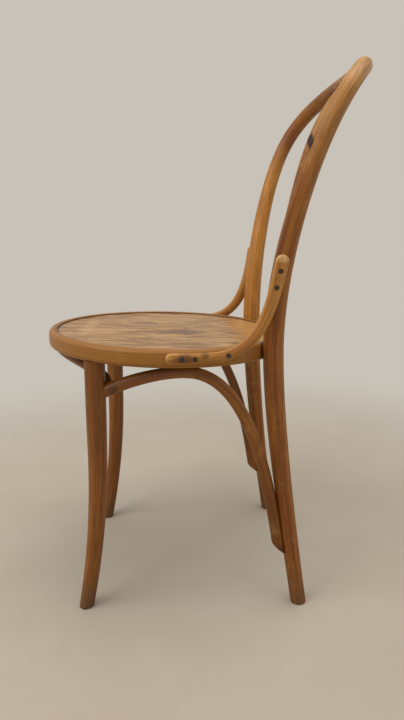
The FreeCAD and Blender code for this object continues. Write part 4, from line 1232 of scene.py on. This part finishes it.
@dataclass
class FrontArch:
    """The bent arch between the front legs, bowed forward under the ring."""

    legs: FrontLegs
    diameter: float = 0.019
    drop: float = 0.042
    run: float = 0.045
    bed: float = 0.0025
    gap: float = 0.00025
    inward: float = math.radians(48)
    crown_pull: float = 0.058
    shift: tuple[float, float, float] = (0.004, -0.001, -0.003)
    run_back: float = 0.002
    run_up: float = 0.013
    screw_share: float = 0.06
    end_round: float = 0.0008
    grain_start: float = 1.37
    count: int = 32

    def stretches(self) -> tuple[Stretch, Stretch]:
        """Centre line: left end to crown and crown to right end."""
        radius = self.diameter / 2
        middle = self.legs.point(self.drop / self.legs.top.z)
        reach = self.legs.top_diameter / 2 + radius - self.bed
        offset = Vector((-math.cos(self.inward), math.sin(self.inward), 0)) * reach
        start = middle + offset + Vector(self.shift)
        run_end = start + Vector((-self.run, self.run_back, self.run_up))
        bed = PLAN.point(-90, PLAN.ring_width / 2, PLAN.ring_height)
        crown = bed - PLAN.up * (radius + self.gap)
        left = Stretch((start, run_end, crown + AXIS_X * self.crown_pull, crown))
        right = Stretch([mirror(pole, -1) for pole in reversed(left.poles)])
        return left, right

    def build(self) -> None:
        """Build the arch with its three screw holes."""
        left, right = self.stretches()
        stations = left.stations(self.count, self.diameter, self.diameter)
        stations += right.stations(self.count, self.diameter, self.diameter, 1)
        arch = sweep("front_arch_rod", stations)
        reach = self.diameter / 2 - SINK
        inward = Vector((-0.62, 0.72, -0.25))
        heads = [surface_head(left, self.screw_share, inward, reach),
                 surface_head(right, 1 - self.screw_share, mirror(inward, -1), reach),
                 surface_head(left, 1, -PLAN.up, reach)]
        bore(arch, heads)
        for end in (stations[0], stations[-1]):
            facing = end.way if end is stations[-1] else -end.way
            ease_end(arch, end.point, facing, self.end_round)
        CentreLine(stations).lay_grain(arch, self.grain_start)
        smooth(arch)
        hand_over(arch, ARCH_FINISH, "front_arch")


@dataclass
class SideBrackets:
    """The bent brackets along the ring's edge and up the uprights."""

    hoop: BackHoop
    seat_width: float = 0.017
    top_width: float = 0.021
    thickness: float = 0.0125
    bed: float = 0.0022
    tip_back: float = 0.008
    lift_back: float = 0.070
    top_height: float = 0.586
    top_back: float = 0.179
    drop: float = 0.012
    seat_pull: float = 0.075
    top_pull: float = 0.085
    dome: tuple[int, ...] = (4, 12, 25, 40, 55, 72)
    rise_shares: tuple[float, float, float] = (0.80, 0.93, 0.12)
    along_shares: tuple[float, float] = (0.25, 0.55)
    grain_start: float = 1.71

    def ring_point(self, back: float) -> Vector:
        """Middle of the left bracket where it lies along the ring's edge."""
        angle = PLAN.angle_at(back)
        reach = self.thickness / 2 - self.bed
        return PLAN.point(angle, 0, self.drop) + PLAN.outward(angle) * reach

    def stretches(self, side: int) -> tuple[Stretch, Stretch]:
        """Centre line of one bracket: along the ring, then up to the upright."""
        tip = self.ring_point(self.tip_back)
        lift = self.ring_point(self.lift_back)
        tip_way = (self.ring_point(self.tip_back + 0.001) - tip).normalized()
        lift_way = (self.ring_point(self.lift_back + 0.001) - lift).normalized()
        third = (self.lift_back - self.tip_back) / 3
        beside, up_way = self.hoop.at_height(self.top_height)
        reach = self.hoop.radius_at(self.top_height) + self.thickness / 2 - self.bed
        top = beside + square_to(up_way, AXIS_X) * reach
        top.y = PLAN.middle + self.top_back
        poles = ((tip, tip + tip_way * third, lift - lift_way * third, lift),
                 (lift, lift + lift_way * self.seat_pull, top - up_way * self.top_pull, top))
        along, rise = (Stretch([mirror(pole, side) for pole in four]) for four in poles)
        return along, rise

    def stations(self, side: int) -> list[Station]:
        """Stations of one bracket, its diameter being its width, with domed ends."""
        along, rise = self.stretches(side)
        body = along.stations(12, self.seat_width, self.seat_width)
        body += rise.stations(40, self.seat_width, self.top_width, 1)
        front = self.dome_end(body[0], self.seat_width, -1)
        back = self.dome_end(body[-1], self.top_width, 1)
        return front + body + back[::-1]

    def dome_end(self, end: Station, width: float, past: int) -> list[Station]:
        """Stations that round off one end.

        Args:
            end: The last full station.
            width: The bracket's width there.
            past: 1 where the dome lies along the station's direction, -1 against it.

        Returns:
            The stations, from the dome's tip inwards.
        """
        made = []
        for degrees in self.dome:
            turn = math.radians(degrees)
            reach = past * (math.cos(turn) * width / 2)
            made.append(Station(end.point + end.way * reach, end.way, width * math.sin(turn)))
        return made

    def flatten(self, piece: bpy.types.Object, line: CentreLine, side: int) -> None:
        """Press the round sweep to the bracket's thickness, sideways.

        Args:
            piece: The round sweep.
            line: Its centre line.
            side: 1 for the left bracket and -1 for the right.
        """
        places = vertex_places(piece)
        near = line.nearest(places)
        first = len(self.dome)
        last = len(line.points) - len(self.dome) - 1
        for number, (place, index) in enumerate(zip(places, near)):
            share = min(max((index - first) / (last - first), 0.0), 1.0)
            width = self.seat_width + (self.top_width - self.seat_width) * share
            way = Vector(line.ways[index])
            thin = square_to(way, AXIS_X * side)
            out = (Vector(place) - Vector(line.points[index])).dot(thin)
            shift = thin * out * (self.thickness / width - 1)
            piece.data.vertices[number].co = Vector(place) + shift

    def heads(self, side: int) -> list[tuple[Vector, Vector]]:
        """Screw heads of one bracket and the directions of the screws."""
        along, rise = self.stretches(side)
        reach = self.thickness / 2 - SINK
        out = AXIS_X * side
        made = [surface_head(rise, share, out, reach) for share in self.rise_shares]
        made += [surface_head(along, share, out, reach) for share in self.along_shares]
        return made

    def build(self) -> None:
        """Build both brackets."""
        for name, side in SIDES:
            stations = self.stations(side)
            line = CentreLine(stations)
            bracket = sweep(f"bracket_strap_{name}", stations)
            self.flatten(bracket, line, side)
            bore(bracket, self.heads(side))
            line.lay_grain(bracket, self.grain_start + GRAIN_APART * side)
            smooth(bracket)
            hand_over(bracket, BRACKET_FINISH, f"side_bracket_{name}")


@dataclass
class Screws:
    """Screws and washers, which keep their CAD shapes."""

    nodes: tuple[str, ...] = (
        "hoop_coach_screws", "hoop_washers", "front_arch_screws",
        "bracket_upright_screws_left", "bracket_upright_screws_right",
        "bracket_seat_screws_left", "bracket_seat_screws_right",
        "arch_screws_left", "arch_screws_right")

    def dress(self) -> None:
        """Give each node the steel finish."""
        for name in self.nodes:
            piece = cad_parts[name]
            for slot in piece.material_slots:
                slot.material = STEEL_FINISH.material()
            LOG.info("%s: dressed in %s", name, STEEL_FINISH.name)


@dataclass
class Studio:
    """The plain floor, the pale surround, the lamps and the camera."""

    floor_tone: tuple[float, float, float, float] = tone(182, 172, 158)
    wall_tone: tuple[float, float, float, float] = tone(200, 194, 184)
    floor_half: float = 9.0
    near: float = 0.5
    far: float = 1.5
    eye: tuple[float, float, float] = (1.049, -0.0456, 0.6379)
    pitch: float = 0.2294
    yaw: float = 0.0418
    roll: float = -0.0175
    lens: float = 29.0
    sensor: float = 36.0

    def build(self) -> None:
        """Set the whole studio."""
        scene = bpy.context.scene
        scene.view_settings.view_transform = "Standard"
        self.build_floor()
        self.build_world(scene)
        self.add_lamp("window lamp", (0.9, -1.7, 2.3), 1.8, 33, (1.0, 0.97, 0.92))
        self.add_lamp("ceiling lamp", (0.2, 0.5, 2.9), 2.2, 32, (1.0, 0.95, 0.88))
        self.build_camera(scene)

    def build_floor(self) -> None:
        """Lay the floor, which turns to the surround's tone far from the chair."""
        select_only()
        bpy.ops.mesh.primitive_plane_add(size=2 * self.floor_half, location=(0, 0, 0))
        floor = named("studio_floor")
        made = bpy.data.materials.new("studio floor")
        made.use_nodes = True
        graph = Graph(made.node_tree)
        place = graph.node("ShaderNodeTexCoord", {}).outputs["Object"]
        reach = graph.node("ShaderNodeVectorMath", {0: place}, operation="LENGTH").outputs["Value"]
        cloud = graph.noise(place, 3.0, 4, 0.6)
        colour = graph.mix(graph.ramp(cloud, 0.3, 0.7), self.floor_tone, tone(176, 165, 150))
        shader = graph.node("ShaderNodeBsdfPrincipled", {"Base Color": colour, "Roughness": 0.7})
        glow = graph.node("ShaderNodeEmission", {"Color": self.wall_tone, "Strength": 1.0})
        blend = graph.node("ShaderNodeMixShader", {0: graph.ramp(reach, self.near, self.far),
                                                   1: shader.outputs[0], 2: glow.outputs[0]})
        graph.node("ShaderNodeOutputMaterial", {"Surface": blend.outputs[0]})
        floor.data.materials.append(made)

    def build_world(self, scene: bpy.types.Scene) -> None:
        """Light the chair evenly, and show the surround's own tone behind it."""
        world = bpy.data.worlds.new("studio")
        scene.world = world
        world.use_nodes = True
        graph = Graph(world.node_tree)
        seen = graph.node("ShaderNodeLightPath", {})
        shown = graph.math("MAXIMUM", seen.outputs["Is Camera Ray"],
                           seen.outputs["Is Transmission Ray"])
        soft = graph.node("ShaderNodeBackground", {"Color": (1.0, 0.97, 0.93, 1.0),
                                                   "Strength": 0.6})
        wall = graph.node("ShaderNodeBackground", {"Color": self.wall_tone, "Strength": 1.0})
        mixed = graph.node("ShaderNodeMixShader", {0: shown, 1: soft.outputs[0],
                                                   2: wall.outputs[0]})
        graph.node("ShaderNodeOutputWorld", {"Surface": mixed.outputs[0]})

    def add_lamp(self, name: str, place: tuple[float, float, float], size: float, power: float,
                 colour: tuple[float, float, float]) -> None:
        """Hang one soft square lamp that faces the seat."""
        lamp = bpy.data.lights.new(name, "AREA")
        lamp.size = size
        lamp.energy = power
        lamp.color = colour
        holder = bpy.data.objects.new(name, lamp)
        holder.location = place
        aim = Vector((0, 0, 0.45)) - Vector(place)
        holder.rotation_euler = aim.to_track_quat("-Z", "Y").to_euler()
        bpy.context.scene.collection.objects.link(holder)

    def build_camera(self, scene: bpy.types.Scene) -> None:
        """Set the camera where the photograph was taken from."""
        ahead = Vector((-math.cos(self.pitch) * math.cos(self.yaw),
                        math.cos(self.pitch) * math.sin(self.yaw), -math.sin(self.pitch)))
        right = ahead.cross(AXIS_Z).normalized()
        up = right.cross(ahead)
        across = right * math.cos(self.roll) + up * math.sin(self.roll)
        upright = up * math.cos(self.roll) - right * math.sin(self.roll)
        turn = Matrix((across, upright, -ahead)).transposed().to_4x4()
        lens = bpy.data.cameras.new("camera")
        lens.lens = self.lens
        lens.sensor_width = self.sensor
        lens.sensor_fit = "AUTO"
        lens.clip_start = 0.01
        camera = bpy.data.objects.new("camera", lens)
        camera.matrix_world = Matrix.Translation(self.eye) @ turn
        scene.collection.objects.link(camera)
        scene.camera = camera


def remove_defaults() -> None:
    """Take away what a new file starts with."""
    for name in ("Cube", "Light", "Camera"):
        if name in bpy.data.objects:
            bpy.data.objects.remove(bpy.data.objects[name])


def main() -> None:
    """Build the chair's pieces in order, then the studio."""
    logging.basicConfig(level=logging.INFO, format="%(message)s")
    remove_defaults()
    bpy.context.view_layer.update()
    hoop = BackHoop()
    hoop.build()
    Seat().build()
    legs = FrontLegs()
    legs.build()
    SideArches(hoop, legs).build()
    FrontArch(legs).build()
    SideBrackets(hoop).build()
    Screws().dress()
    Studio().build()
    select_only()


if __name__ == "__main__":
    main()
